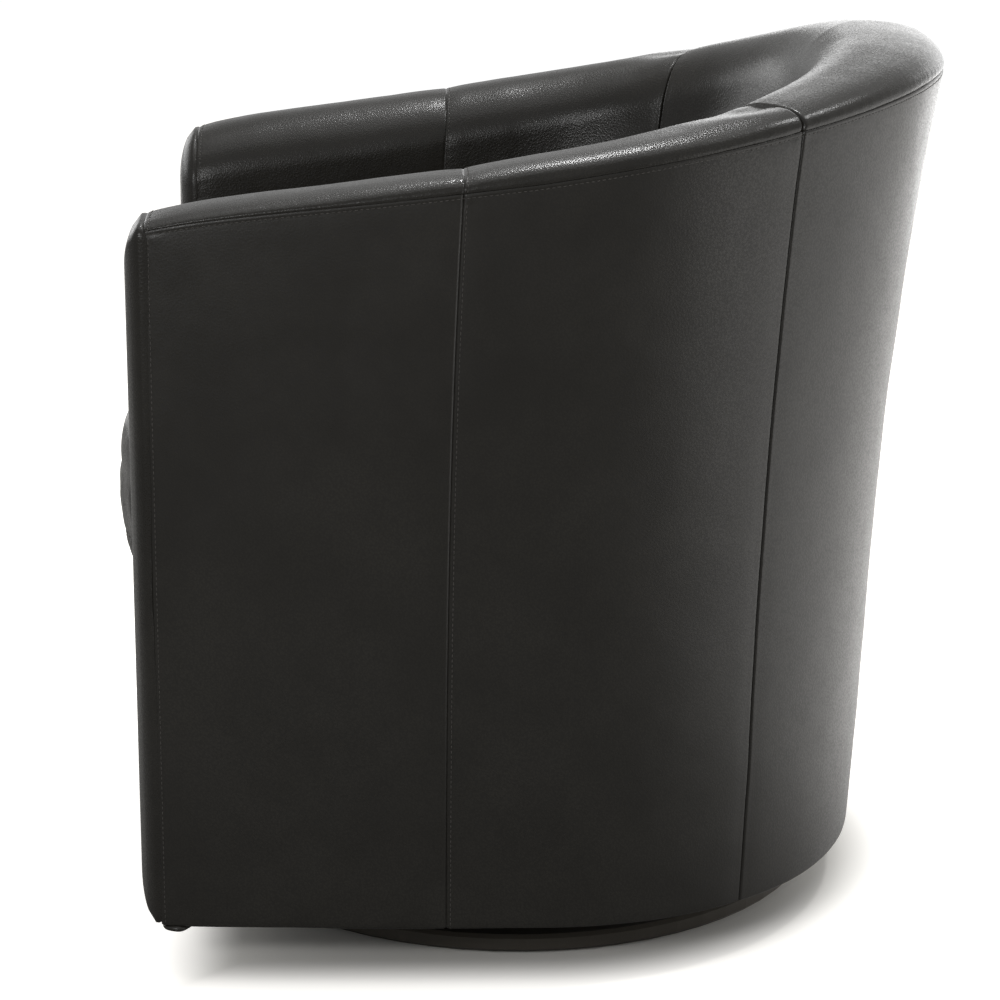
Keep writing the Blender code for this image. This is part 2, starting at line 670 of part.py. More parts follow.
def make_springs(finishes, body):
    """Clip strips along the two rails and the springs between them."""
    reach = SPRING_SPACING * (SPRING_COUNT - 1) / 2 + SPRING_WAVE + CLIP_OVERHANG
    rails = {"front": RAIL_FACE + CLIP_SETBACK, "back": BACK_RAIL_REACH + SEAT_RAIL_THICKNESS - CLIP_SETBACK}
    for word, edge in rails.items():
        shape = bmesh.new()
        side = 1 if word == "front" else -1
        ends = [[shape.verts.new((x, edge + y, z)) for y, z in clip_section(side)] for x in (-reach, reach)]
        count = len(ends[0])
        for i in range(count):
            j = (i + 1) % count
            shape.faces.new((ends[0][i], ends[0][j], ends[1][j], ends[1][i]))
        for end in ends:
            shape.faces.new(end)
        add_object(f"spring_clip_strip_{word}", shape, finishes["steel"], body, smooth=False)
    wire = SPRING_WIRE / 2
    height = SEAT_RAIL_TOP + GAP + CLIP_METAL + GAP + wire
    start = rails["front"] + CLIP_METAL + GAP + wire
    end = rails["back"] - CLIP_METAL - GAP - wire
    pitch = (end - start) / SPRING_BENDS
    for number in range(SPRING_COUNT):
        middle = (number - (SPRING_COUNT - 1) / 2) * SPRING_SPACING
        points = []
        for bend in range(SPRING_BENDS + 1):
            side = 1 if bend % 2 else -1
            y = start + pitch * bend
            flat = side * SPRING_WAVE * SPRING_BEND_FLAT
            points += [(middle - flat, y, height), (middle + flat, y, height)]
            if bend < SPRING_BENDS:
                points.append((middle + side * SPRING_WAVE, y + pitch / 2, height))
        curve = bpy.data.curves.new(f"seat_spring_{number + 1}", "CURVE")
        curve.dimensions = "3D"
        curve.bevel_depth = wire
        curve.bevel_resolution = 0
        curve.use_fill_caps = True
        line = curve.splines.new("POLY")
        line.points.add(len(points) - 1)
        for spot, place in zip(line.points, points):
            spot.co = (*place, 1.0)
        curve.materials.append(finishes["steel"])
        spring = bpy.data.objects.new(f"seat_spring_{number + 1}", curve)
        bpy.context.scene.collection.objects.link(spring)
        spring.parent = body


def make_deck_pad(finishes, body):
    """Felt that lies on the springs and fills the well between the inside panels."""
    corners = []
    limit = 2.0 - FRONT_RAIL_SETBACK / ARM_REACH
    stations = [station for station in STATIONS if abs(station) < limit - STATION_SAME]
    for station in [-limit, *stations, limit]:
        corners += inner_face(station, DECK_BOTTOM, CUSHION_WALL_CLEARANCE)
    sheet_with_outline("seat_deck_pad", finishes["felt"], body, corners, DECK_BOTTOM, DECK_TOP)


def cushion_edge(height, draw):
    """Outline of the cushion at a height, drawn in from the walls and from its front edge."""
    points = []
    limit = along(2.0, -HEM_WIDTH)
    stations = [-limit] + [station for station in STATIONS if abs(station) < limit - STATION_SAME] + [limit]
    for station in stations:
        points += inner_face(station, height, CUSHION_WALL_CLEARANCE + draw)
    corner = points[-1].x - CUSHION_EDGE_DRAW
    for step in range(CUSHION_FRONT_STEPS + 1):
        x = corner * math.cos(math.pi * step / CUSHION_FRONT_STEPS)
        points.append(Vector((x, -CUSHION_FRONT_REACH + CUSHION_FRONT_CURVE * x**2 + draw)))
    return points


def cushion_loops(bottom):
    """Loops of the cushion's leather from its bottom edge up the side and in over the crown."""
    loops = []
    for share, drawn in CUSHION_SIDE:
        height = bottom + CUSHION_SIDE_HEIGHT * share
        edge = cushion_edge(height, CUSHION_EDGE_DRAW * drawn)
        loops.append([Vector((point.x, point.y, height)) for point in edge])
    last = loops[-1]
    middle = sum(last, Vector()) / len(last)
    for share in CUSHION_CROWN_RINGS:
        lift = CUSHION_CROWN * (1.0 - share**2)
        loops.append([middle.lerp(point, share) + Vector((0.0, 0.0, lift)) for point in last])
    return loops


def skin(loops, hollow=None):
    """Closed form from loops going up, capped on top. With hollow it is a shell, open underneath."""
    shape = bmesh.new()

    def surface(rings):
        made = [[shape.verts.new(point) for point in ring] for ring in rings]
        count = len(made[0])
        for near, far in zip(made, made[1:]):
            for i in range(count):
                shape.faces.new((near[i], near[(i + 1) % count], far[(i + 1) % count], far[i]))
        centre = shape.verts.new(sum((vertex.co for vertex in made[-1]), Vector()) / count)
        for i in range(count):
            shape.faces.new((made[-1][i], made[-1][(i + 1) % count], centre))
        return made[0]
    outer = surface(loops)
    if hollow is None:
        shape.faces.new(outer)
        return shape
    inner = surface(hollow)
    for i in range(len(outer)):
        j = (i + 1) % len(outer)
        shape.faces.new((outer[i], outer[j], inner[j], inner[i]))
    return shape


def shrunk(loops, inset, bottom):
    """The same loops moved in by a thickness, with the lowest one left at its height."""
    found = []
    count = len(loops[0])
    for row, ring in enumerate(loops):
        below = loops[max(row - 1, 0)]
        above = loops[min(row + 1, len(loops) - 1)]
        moved = []
        for i, point in enumerate(ring):
            around = ring[(i + 1) % count] - ring[i - 1]
            upward = above[i] - below[i]
            normal = upward.cross(around).normalized()
            place = point - normal * inset
            if row == 0:
                place.z = bottom
            moved.append(place)
        found.append(moved)
    return found


def make_cushion(finishes, body):
    """The foam of the seat cushion and its leather, which is open underneath."""
    bottom = DECK_TOP + GAP
    loops = cushion_loops(bottom)
    cover = skin(loops, shrunk(loops, CUSHION_LEATHER, bottom))
    add_object("seat_cushion_cover", cover, finishes["leather"], body)
    foam = skin(shrunk(loops, CUSHION_LEATHER + 2 * GAP, bottom))
    add_object("seat_cushion_foam", foam, finishes["foam"], body)


def make_padding(finishes, body):
    """Foam over the top rails and down the inside of the posts."""
    def section(here):
        outer = cover_line(here, LEATHER + GAP)
        top = seam_height(here) - RAIL_BELOW_SEAM + 2 * GAP
        behind = FRAME_END + 2 * GAP
        corner = OUTER_ROLL_STEPS + 1
        start = LEATHER + GAP
        inner = [(start + (behind - start) * step / corner, top) for step in range(corner + 1)]
        down = [height for _, height in outer[corner + 1:]]
        inner += [(behind, min(height, top - GAP * (index + 1))) for index, height in enumerate(down)]
        return outer, inner
    half = GAP / 2
    before, joint = along(REAR_SEAM, -half), along(REAR_SEAM, half)
    wall_piece("back_padding", finishes["foam"], body, -before, before, section)
    wall_piece("arm_padding_left", finishes["foam"], body, joint, 2.0, section)
    wall_piece("arm_padding_right", finishes["foam"], body, -2.0, -joint, section)


def make_backing_board(finishes, body):
    """Bent fibreboard round the outside of the frame, from arm to arm."""
    def section(here):
        top = seam_height(here) - RAIL_BELOW_SEAM
        low = BOARD_BOTTOM
        return upright(BOARD_DEPTH, low, top), upright(BOARD_DEPTH + BACKING_BOARD, low, top)
    wall_piece("outer_backing_board", finishes["fibreboard"], body, -2.0, 2.0, section)


def seams():
    """Stretches of the wall between the upright seams, with their names."""
    half = GAP / 2
    rear, middle = REAR_SEAM, MIDDLE_SEAM
    yield "back_panel", -along(rear, -half), along(rear, -half)
    yield "side_panel_left", along(rear, half), along(middle, -half)
    yield "side_panel_right", -along(middle, -half), -along(rear, half)
    yield "arm_panel_left", along(middle, half), 2.0
    yield "arm_panel_right", -2.0, -along(middle, half)


def make_panels(finishes, body):
    """The outer leather with its hem under the board, and the inner leather with the roll."""
    def outside(here):
        top = seam_height(here)
        low = BOTTOM_EDGE
        outer = [(HEM_WIDTH, low)] + upright(0.0, low, top)
        inner = [(HEM_WIDTH, low + LEATHER), (LEATHER, low + LEATHER)]
        inner += upright(LEATHER, low, top)[1:]
        return outer, inner

    def inside(here):
        return cover_line(here, 0.0), cover_line(here, LEATHER)
    for name, start, end in seams():
        wall_piece(f"outer_{name}", finishes["leather"], body, start, end, outside)
        wall_piece(f"inner_{name}", finishes["leather"], body, start, end, inside)


def facing_loops(side):
    """Loops of an arm's padded front: its full section first, then smaller and further forward."""
    station = 2.0 * side
    roll = cover_line(station, 0.0)
    section = upright(0.0, BOTTOM_EDGE, seam_height(station)) + roll[1:-1]
    section += [(ARM_THICKNESS, INSIDE_BOTTOM), (ARM_THICKNESS, (INSIDE_BOTTOM + BOTTOM_EDGE) / 2),
                (ARM_THICKNESS, BOTTOM_EDGE)]
    half = ARM_THICKNESS / 2
    top = seam_height(station) + FRONT_ROLL_RISE - half
    loops = []
    for step in range(FACING_LOOPS):
        angle = math.pi / 2 * FACING_LAST_LOOP * step / (FACING_LOOPS - 1)
        size = math.cos(angle)
        forward = FACING_BULGE * math.sin(angle)
        ring = []
        for depth, height in section:
            spine = min(max(height, BOTTOM_EDGE + half), top)
            place = wall_point(station, half + (depth - half) * size, spine + (height - spine) * size)
            ring.append(place - Vector((0.0, GAP + forward, 0.0)))
        loops.append(ring)
    return loops


def make_facings(finishes, body):
    """The padded leather on the arms' fronts, and the panel between them under the cushion."""
    for side, word in ((1, "left"), (-1, "right")):
        loops = facing_loops(side)
        shape = bmesh.new()
        rings = [[shape.verts.new(point) for point in ring] for ring in loops]
        count = len(rings[0])
        for near, far in zip(rings, rings[1:]):
            for i in range(count):
                j = (i + 1) % count
                shape.faces.new((near[i], near[j], far[j], far[i]))
        shape.faces.new(rings[0])
        shape.faces.new(rings[-1])
        add_object(f"arm_front_facing_{word}", shape, finishes["leather"], body)
    make_front_cover(finishes, body)


def make_front_cover(finishes, body):
    """The leather panel on the front rail: post to post below, and between the inside panels above."""
    wide = wall_point(2.0, FRAME_END, BOTTOM_EDGE).x - GAP
    narrow = inner_face(2.0, INSIDE_BOTTOM, CUSHION_WALL_CLEARANCE)[0].x
    step = INSIDE_BOTTOM - GAP
    corners = [(-wide, BOTTOM_EDGE), (wide, BOTTOM_EDGE), (wide, step), (narrow, step), (narrow, DECK_TOP),
               (-narrow, DECK_TOP), (-narrow, step), (-wide, step)]
    shape = bmesh.new()
    faces = []
    for y in (RAIL_FACE - GAP - LEATHER, RAIL_FACE - GAP):
        ring = [shape.verts.new((x, y, z)) for x, z in corners]
        shape.faces.new(ring)
        faces.append(ring)
    for i in range(len(corners)):
        j = (i + 1) % len(corners)
        shape.faces.new((faces[0][i], faces[0][j], faces[1][j], faces[1][i]))
    add_object("front_rail_cover", shape, finishes["leather"], body, smooth=False)


def empty(name, parent=None):
    """An empty on the swivel axis that carries a group of pieces."""
    made = bpy.data.objects.new(name, None)
    bpy.context.scene.collection.objects.link(made)
    made.parent = parent
    return made


def main():
    for old in list(bpy.data.objects):
        bpy.data.objects.remove(old)
    finishes = {
        "leather": material("charcoal_leather", (0.022, 0.020, 0.018), 0.42),
        "black_wood": material("black_base_board", (0.012, 0.011, 0.010), 0.5),
        "nylon": material("black_nylon", (0.02, 0.02, 0.02), 0.45),
        "steel": material("zinc_plated_steel", (0.52, 0.52, 0.50), 0.35, 1.0),
        "zinc": material("bright_zinc", (0.60, 0.60, 0.62), 0.3, 1.0),
        "plywood": material("birch_plywood", (0.55, 0.40, 0.24), 0.7),
        "hardwood": material("poplar", (0.50, 0.37, 0.22), 0.7),
        "fibreboard": material("brown_fibreboard", (0.25, 0.16, 0.09), 0.8),
        "felt": material("grey_felt", (0.30, 0.29, 0.28), 0.95),
        "foam": material("seat_foam", (0.80, 0.76, 0.62), 0.95),
        "black_cloth": material("black_dust_cloth", (0.010, 0.010, 0.010), 0.95),
    }
    base = empty("base_body")
    ring = empty("ball_ring_body")
    tub = empty("tub_body")
    make_base(finishes, base)
    make_bearing(finishes, base, ring, tub)
    make_bottom(finishes, tub)
    make_posts(finishes, tub)
    make_top_rails(finishes, tub)
    make_seat_frame(finishes, tub)
    make_cushion(finishes, tub)
    make_padding(finishes, tub)
    make_backing_board(finishes, tub)
    make_panels(finishes, tub)
    make_facings(finishes, tub)


main()
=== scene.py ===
"""Looks of the swivel club chair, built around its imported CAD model.

The leather follows the same wall formula as the CAD solids. A station runs along the U-shaped wall:
0 is the middle of the back, 1 is where the arm begins, 2 is the arm's front, and the other side
counts negative. A depth goes inwards from the leather's outer face.
"""

import json
import math

import bmesh
import bpy
import numpy as np
from mathutils import Matrix, Vector
from mathutils.bvhtree import BVHTree


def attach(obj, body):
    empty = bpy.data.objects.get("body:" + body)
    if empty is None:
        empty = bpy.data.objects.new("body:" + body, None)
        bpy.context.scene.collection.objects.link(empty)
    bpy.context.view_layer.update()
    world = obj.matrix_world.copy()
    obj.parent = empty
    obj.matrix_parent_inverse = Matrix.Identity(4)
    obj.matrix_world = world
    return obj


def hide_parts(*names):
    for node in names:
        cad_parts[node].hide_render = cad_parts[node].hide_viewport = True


# Shape of the wall, in metres, with the same values as the CAD solids
BOTTOM_HALF_WIDTH = 0.3355
TOP_HALF_WIDTH = 0.341
BOTTOM_BACK_REACH = 0.313
TOP_BACK_REACH = 0.368
ARM_REACH = 0.303
ARM_TAPER = 0.0125
CORNER_SQUARENESS = 2.2
BACK_HOLLOW = 1.2
BACK_HOLLOW_POWER = 1.5
REAR_SEAM_ANGLE = 33.0
MIDDLE_SEAM_REACH = 0.069
MIDDLE_SEAM_LEAN = 0.016
BOTTOM_EDGE = 0.049
FRONT_SEAM_HEIGHT = 0.632
FRONT_SEAM_DROOP = 0.007
FRONT_SEAM_DROOP_POWER = 8
BACK_SEAM_HEIGHT = 0.732
SEAM_RISE_BIAS = 0.45
FRONT_ROLL_RISE = 0.006
MIDDLE_ROLL_RISE = 0.015
BACK_ROLL_RISE = 0.030
ROLL_DROP = 0.050
ARM_THICKNESS = 0.095
BACK_TOP_THICKNESS = 0.118
BACK_SEAT_THICKNESS = 0.158
ARM_ROLL_CREST = 0.043
BACK_ROLL_CREST = 0.066
HEM_WIDTH = 0.022
INSIDE_BOTTOM = 0.2934
DECK_TOP = 0.2994
FACING_BULGE = 0.019
RAIL_FACE = -0.288
RAIL_LEATHER_OVERLAP = 0.0022
RAIL_LEATHER_TURNED = 0.0115
RAIL_LEATHER_ROOM = 0.0023
RAIL_LEATHER_DROP = 0.0005
RAIL_PULL = 0.0006
RAIL_PULL_LENGTH = 0.045
RAIL_PULL_REACH = 0.05
RAIL_WAVE = 0.0008

# Seat cushion
CUSHION_BOTTOM = 0.2997
CUSHION_FRONT_REACH = 0.359
CUSHION_FRONT_CURVE = 1.1
CUSHION_SIDE_HEIGHT = 0.128
CUSHION_CROWN = 0.026
CUSHION_EDGE_DRAW = 0.011
CUSHION_WALL_CLEARANCE = 0.0008
CUSHION_VOXEL = 0.006
CUSHION_PRESSURE = 4.0
CUSHION_FRAMES = 20
CUSHION_CAP = 0.005
CUSHION_SIDE = ((0.0, 1.1), (0.12, 0.3), (0.4, -0.1), (0.7, -0.4), (0.9, 0.1), (1.0, 1.6))
CUSHION_DROOP = 0.013
CUSHION_DROOP_SHARE = 0.45
CUSHION_DROOP_LENGTH = 0.035
CUSHION_START_INSET = 0.0015
CUSHION_SEAM_HEIGHT = 0.320
CUSHION_SEAM_DIP = 0.0016
CUSHION_SEAM_PULL = 0.0009
CUSHION_SEAM_PULL_WIDTH = 0.012
CUSHION_PUCKER = 0.0005
CUSHION_PUCKER_LENGTH = 0.019
CUSHION_STITCH_HALF = 0.215
CUSHION_HELD_HEIGHT = 0.004
CUSHION_SEAM_WIDTH = 0.0022
CUSHION_PUCKER_WIDTH = 0.016
CUSHION_WAVE = 0.0007
CUSHION_RIPPLE = 0.0003
CUSHION_SIDE_BLEND = 1.5

# Felt under the cushion, cloth under the chair
FELT_WAVE = 0.0005
CLOTH_INSET = 0.011
CLOTH_TOP = 0.0486
CLOTH_THICKNESS = 0.0006
CLOTH_HOLE = 0.1275
CLOTH_SAG = 0.0012
CLOTH_SAG_REACH = 0.06
CLOTH_HEM = 0.009
CLOTH_HEM_FOLD = 0.0004
CLOTH_GATHER = 0.0003
CLOTH_GATHER_REACH = 0.02
STAPLE_PITCH = 0.034
STAPLE_LENGTH = 0.011
STAPLE_WIRE = 0.00035
TUCK_PLACE = (0.3115, -0.2905, 0.0468)
TUCK_SIZE = (0.0140, 0.0125, 0.0046)
TUCK_ROUND = 0.47
TUCK_PLEATS = 5.0
TUCK_PLEAT_DEPTH = 0.03

# Leather details
CELL = 0.006
COVER_CELL = 0.004
BOTTOM_ROUND = 0.003
SEAM_STEPS = (0.0, 0.0005, 0.0011, 0.0019, 0.0030, 0.0045, 0.0066, 0.0095)
SEAM_TUCK = 0.006
SEAM_DIP = 0.0011
SEAM_WIDTH = 0.0011
SEAM_PULL = 0.0005
SEAM_PULL_WIDTH = 0.010
PUCKER = 0.00022
PUCKER_LENGTH = 0.011
PUCKER_AWAY = 0.006
PUCKER_SPREAD = 0.005
PUCKER_SWING = 1.3
PUCKER_DRIFT = 41.0
OUTER_TOP_DIP = 0.0003
COVER_TOP_DIP = 0.0005
OUTER_TOP_PULL = 0.0003
OUTER_WAVE = 0.0009
OUTER_RIPPLE = 0.00015
REAR_SEAM_DIP = 0.0027
REAR_SEAM_PULL = 0.0004
REAR_UNDER_DIP = 0.0002
COVER_REAR_DIP = 0.0024
COVER_SEAM_DIP = 0.0006
REAR_UNDER_PULL = 0.0010
BOARD_ROOM = 0.0034
BOARD_SHARE = 0.0036
BOARD_THICKNESS = 0.0030
BOARD_TOP_ROOM = 0.030
ROLL_FULLNESS = ((0.0, 2.4), (0.63, 2.9), (1.25, 2.9), (2.0, 2.2))
ROLL_EXTRA = ((0.5, 0.0), (0.8, 0.0015), (1.6, 0.0015), (2.0, 0.003))
PLUMP = 0.0014
PLUMP_WIDTH = 0.030
PLUMP_START = 0.030
PADDING_WAVE = 0.0004
PADDING_RIPPLE = 0.00012
REAR_FOLD = 0.0011
REAR_FOLD_LENGTH = 0.060
REAR_FOLD_REACH = 0.035
REAR_FOLD_START = 0.050
REAR_FOLD_SWING = 1.5
REAR_FOLD_DRIFT = 23.0
PULL_REACH = 0.060
PULL_WIDTH = 0.018
PULL_HOLLOW = 0.0030
PULL_HOLLOW_RUN = 0.062
PULL_RIDGE = 0.0012
PULL_RIDGE_RUN = 0.030
FAN_FOLDS = 7.0
FAN_DEPTH = 0.0009
FAN_PEAK = 0.065
FAN_REACH = 0.050
FAN_OFFSET = 0.004
FACING_CORNER = 0.005
FACING_CELL = 0.004
FACING_SIDE_SLOPE = 0.15
FACING_DOME = (0.42, 0.96)
FACING_PULL = 0.0006
FACING_WAVE = 0.0006
FACING_MIDDLE_STEP = 0.0004
STITCH_PITCH = 0.0043
STITCH_LENGTH = 0.0030
STITCH_RADIUS = 0.00042
STITCH_LIFT = 0.35
TOPSTITCH_AWAY = 0.0034
TOPSTITCH_GROOVE = 0.00028
TOPSTITCH_GROOVE_WIDTH = 0.0009

# Camera, from the photo's perspective
CAMERA_PLACE = (2.285274, -0.114673, 0.934461)
CAMERA_YAW = -0.0444838
CAMERA_PITCH = 0.2601116
CAMERA_ROLL = 0.0091968
CAMERA_LENS = 92.448
SENSOR = 36.0

# Colours, light and floor
PEBBLES_PER_METRE = 520.0
PEBBLE_DEPTH = 0.00008
PANEL_PEBBLE_DEPTH = 0.000035
LEATHER_DARK = (0.0170, 0.0155, 0.0125)
LEATHER_LIGHT = (0.0260, 0.0240, 0.0200)
# Painted shade of the creases between the pebbles
LEATHER_CREASE_SHADE = (0.0085, 0.0077, 0.0063)
WORLD_DIM = 0.375
WORLD_BRIGHT = 0.60
WORLD_SEEN = 1.05
WORLD_BRIGHT_WAY = (-0.74, 0.67, 0.0)
WORLD_LOW = -0.55
WORLD_HIGH = 0.55
FLOOR_REACH = 6.0
# The floor is white to the camera and greyer to other rays. Its glow is painted light: it fades out near the
# chair as a painted shadow, and behind the chair it lights the leather like a lamp.
FLOOR_SEEN = (1.05, 1.03, 0.98)
FLOOR_BOUNCE_COLOUR = (0.35, 0.345, 0.335)
FLOOR_GLOW_COLOUR = (1.0, 0.985, 0.965)
FLOOR_FAR_GLOW = 0.70
FLOOR_SHADE_REACH = 0.283
FLOOR_SHADE_END = 0.360
FLOOR_SHADE_BEND = 0.01
FLOOR_SHADE_AHEAD = 0.045
FLOOR_BACK_GLOW = 1.45
FLOOR_BRIGHT_WAY = (-0.5, 0.866, 0.0)
FLOOR_GLOW_START = -0.05
FLOOR_GLOW_FULL = 0.82
LIGHTS = (
    ("top_strip", (-0.62, -0.1, 2.4), (0.0, 0.0, 0.6), (0.35, 1.6), 2.6),
    ("roof_softbox", (0.1, -0.3, 2.7), (0.1, -0.3, 0.5), (2.0, 2.0), 9.0),
    ("rim_softbox", (-2.2, 1.3, 0.95), (0.0, 0.2, 0.6), (2.2, 1.65), 22.0),
    ("side_softbox", (0.2, 2.6, 0.50), (0.1, 0.2, 0.3), (2.0, 0.9), 3.2),
    ("side_fill", (1.7, 2.2, 0.4), (0.2, 0.1, 0.3), (1.6, 0.7), 1.9),
    ("behind_lamp", (-0.62, 0.0, 2.22), (0.3, 0.05, 0.69), (0.13, 0.13), 6.5),
    ("overhead_lamp", (0.05, 1.00, 2.20), (0.3, 0.15, 0.69), (0.16, 0.16), 5.6),
    ("inside_lamp", (1.6, -0.85, 0.95), (-0.23, 0.07, 0.65), (0.55, 0.22), 5.4),
    ("left_softbox", (-1.7, -1.8, 1.1), (0.0, 0.1, 0.6), (2.2, 1.0), 12.5),
)

REAR_SEAM = 1.0 - REAR_SEAM_ANGLE / 90.0
MIDDLE_SEAM = 1.0 + MIDDLE_SEAM_REACH / ARM_REACH
MIDDLE_HEIGHT = (BOTTOM_EDGE + BACK_SEAM_HEIGHT) / 2

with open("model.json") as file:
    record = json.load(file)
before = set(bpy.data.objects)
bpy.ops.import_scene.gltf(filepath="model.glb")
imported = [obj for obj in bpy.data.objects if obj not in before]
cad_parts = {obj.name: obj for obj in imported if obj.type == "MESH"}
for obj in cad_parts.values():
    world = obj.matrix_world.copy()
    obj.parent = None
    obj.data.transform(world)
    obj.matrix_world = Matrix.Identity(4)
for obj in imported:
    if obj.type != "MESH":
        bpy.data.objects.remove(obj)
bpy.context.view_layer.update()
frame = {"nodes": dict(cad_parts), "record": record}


def outline(station, height):
    """Points of the leather's outer face in plan, for arrays of stations and heights."""
    station, height = np.broadcast_arrays(np.asarray(station, float), np.asarray(height, float))
    part = np.clip((height - BOTTOM_EDGE) / (BACK_SEAM_HEIGHT - BOTTOM_EDGE), 0.0, 1.0)
    blend = part - BACK_HOLLOW * part**BACK_HOLLOW_POWER * (1.0 - part)
    half_width = BOTTOM_HALF_WIDTH + (TOP_HALF_WIDTH - BOTTOM_HALF_WIDTH) * blend
    reach = BOTTOM_BACK_REACH + (TOP_BACK_REACH - BOTTOM_BACK_REACH) * blend
    side = np.where(station < 0, -1.0, 1.0)
    along = np.abs(station)
    forward = np.maximum(along - 1.0, 0.0)
    seam = MIDDLE_SEAM - 1.0
    lean = MIDDLE_SEAM_LEAN * forward * (1.0 - forward) / (seam * (1.0 - seam)) * part**3
    forward = forward - lean / ARM_REACH
    angle = math.pi / 2 * (1.0 - np.minimum(along, 1.0))
    power = 2.0 / CORNER_SQUARENESS
    on_arm = along >= 1.0
    across = np.where(on_arm, half_width - ARM_TAPER * forward**2,
                      half_width * np.clip(np.cos(angle), 0.0, 1.0)**power)
    back = np.where(on_arm, -ARM_REACH * forward, reach * np.sin(angle)**power)
    return np.stack((side * across, back), -1)


def outward(station):
    """Direction out of the wall, level with the floor, for an array of stations."""
    station = np.asarray(station, float)
    step = 0.01
    chord = outline(station + step, MIDDLE_HEIGHT) - outline(station - step, MIDDLE_HEIGHT)
    normal = np.stack((-chord[..., 1], chord[..., 0]), -1)
    normal /= np.linalg.norm(normal, axis=-1, keepdims=True)
    straight = np.stack((np.sign(station), 0.0 * station), -1)
    return np.where((np.abs(station) >= 1.0)[..., None], straight, normal)


def wall(station, depth, height):
    """Points of the wall for arrays of stations, depths and heights."""
    station, depth, height = np.broadcast_arrays(station, depth, height)
    plan = outline(station, height) - outward(station) * depth[..., None]
    return np.concatenate((plan, height[..., None]), -1)


def back_share(station):
    """0 on the arms, 1 in the middle of the back, with a smooth change between them."""
    share = np.minimum(np.abs(station), MIDDLE_SEAM) / MIDDLE_SEAM
    return 0.5 + 0.5 * np.cos(math.pi * share)


def mixed(station, arm_value, back_value):
    """The arm's value on the arms, changing smoothly to the back's value."""
    return arm_value + (back_value - arm_value) * back_share(station)


def seam_height(station):
    """Height of the outer top seam, which climbs from the arms' fronts to the back."""
    share = (outline(station, BACK_SEAM_HEIGHT)[..., 1] + ARM_REACH) / (TOP_BACK_REACH + ARM_REACH)
    bent = SEAM_RISE_BIAS * share + (1.0 - SEAM_RISE_BIAS) * share**2
    droop = FRONT_SEAM_DROOP * np.maximum(np.abs(station) - 1.0, 0.0)**FRONT_SEAM_DROOP_POWER
    return FRONT_SEAM_HEIGHT + (BACK_SEAM_HEIGHT - FRONT_SEAM_HEIGHT) * bent - droop


def roll_rise(station):
    """Height of the roll over the outer seam."""
    along = np.abs(station)
    arm = MIDDLE_ROLL_RISE + (FRONT_ROLL_RISE - MIDDLE_ROLL_RISE) * (along - 1.0)
    back = MIDDLE_ROLL_RISE + (BACK_ROLL_RISE - MIDDLE_ROLL_RISE) * (1.0 - np.minimum(along, 1.0))**2
    return np.where(along >= 1.0, arm, back)


def thickness(station, height):
    """Depth of the inner leather's face, which leans back more than the outer face at the back."""
    top = mixed(station, ARM_THICKNESS, BACK_TOP_THICKNESS)
    seat = mixed(station, ARM_THICKNESS, BACK_SEAT_THICKNESS)
    crest = seam_height(station) - ROLL_DROP
    share = np.clip((crest - height) / (crest - INSIDE_BOTTOM), 0.0, 1.0)
    return top + (seat - top) * share


def cover_section(station, parts):
    """Inner leather's depths and heights. parts is 0 at the outer seam, 2 past the roll, 3 at the seat."""
    seam = seam_height(station)
    rise = roll_rise(station) + np.interp(np.abs(station), *zip(*ROLL_EXTRA))
    crest = mixed(station, ARM_ROLL_CREST, BACK_ROLL_CREST)
    shoulder = seam + rise - ROLL_DROP
    inner = thickness(station, shoulder)
    first = np.clip(parts, 0.0, 1.0) * math.pi / 2
    second = np.clip(parts - 1.0, 0.0, 1.0) * math.pi / 2
    down = np.clip(parts - 2.0, 0.0, 1.0)
    places, fullness = zip(*ROLL_FULLNESS)
    power = 2.0 / np.interp(np.abs(station), places, fullness)
    across = crest * (1.0 - np.clip(np.cos(first), 0.0, 1.0)**power)
    depth = np.where(parts <= 1.0, across, crest + (inner - crest) * np.sin(second))
    over = seam + rise * np.sin(first)**power
    height = np.where(parts <= 1.0, over, shoulder + ROLL_DROP * np.cos(second))
    low = shoulder + (INSIDE_BOTTOM - shoulder) * down
    depth = np.where(parts > 2.0, thickness(station, low), depth)
    height = np.where(parts > 2.0, low, height)
    return depth, height


def outer_section(station, parts):
    """Outer leather's depths and heights. parts is 0 at the top, 1 to 2 in the rounding, 3 at the hem."""
    seam = seam_height(station)
    low = BOTTOM_EDGE + BOTTOM_ROUND
    down = np.clip(parts, 0.0, 1.0)
    turn = np.clip(parts - 1.0, 0.0, 1.0) * math.pi / 2
    under = np.clip(parts - 2.0, 0.0, 1.0)
    depth = BOTTOM_ROUND * (1.0 - np.cos(turn)) + (HEM_WIDTH - BOTTOM_ROUND) * under
    return depth, seam + (low - seam) * down - BOTTOM_ROUND * np.sin(turn)


def graded(length, cell):
    """Distances from 0 to a length, close together next to the seams at its ends."""
    near = np.array(SEAM_STEPS)
    inner_length = length - 2.0 * near[-1]
    count = max(int(round(inner_length / cell)), 1)
    middle = near[-1] + inner_length * np.arange(1, count) / count
    return np.concatenate((near, middle, length - near[::-1]))


def at_lengths(values, points, distances):
    """Values of a parameter at distances along the line of points that the values give."""
    steps = np.linalg.norm(np.diff(points, axis=0), axis=1)
    run = np.concatenate(([0.0], np.cumsum(steps)))
    return np.interp(distances, run, values), run[-1]


def stations_between(start, end, cell):
    """Stations from start to end, with their distances along the wall's outer face."""
    dense = np.linspace(start, end, 1500)
    points = wall(dense, 0.0, MIDDLE_HEIGHT)
    length = at_lengths(dense, points, 0.0)[1]
    distances = graded(length, cell)
    return at_lengths(dense, points, distances)[0], distances


def normals_of(grid):
    """Unit normals of a grid of points, from its neighbours along rows and columns."""
    along = np.gradient(grid, axis=0)
    across = np.gradient(grid, axis=1)
    normal = np.cross(along, across)
    return normal / np.maximum(np.linalg.norm(normal, axis=-1, keepdims=True), 1e-12)


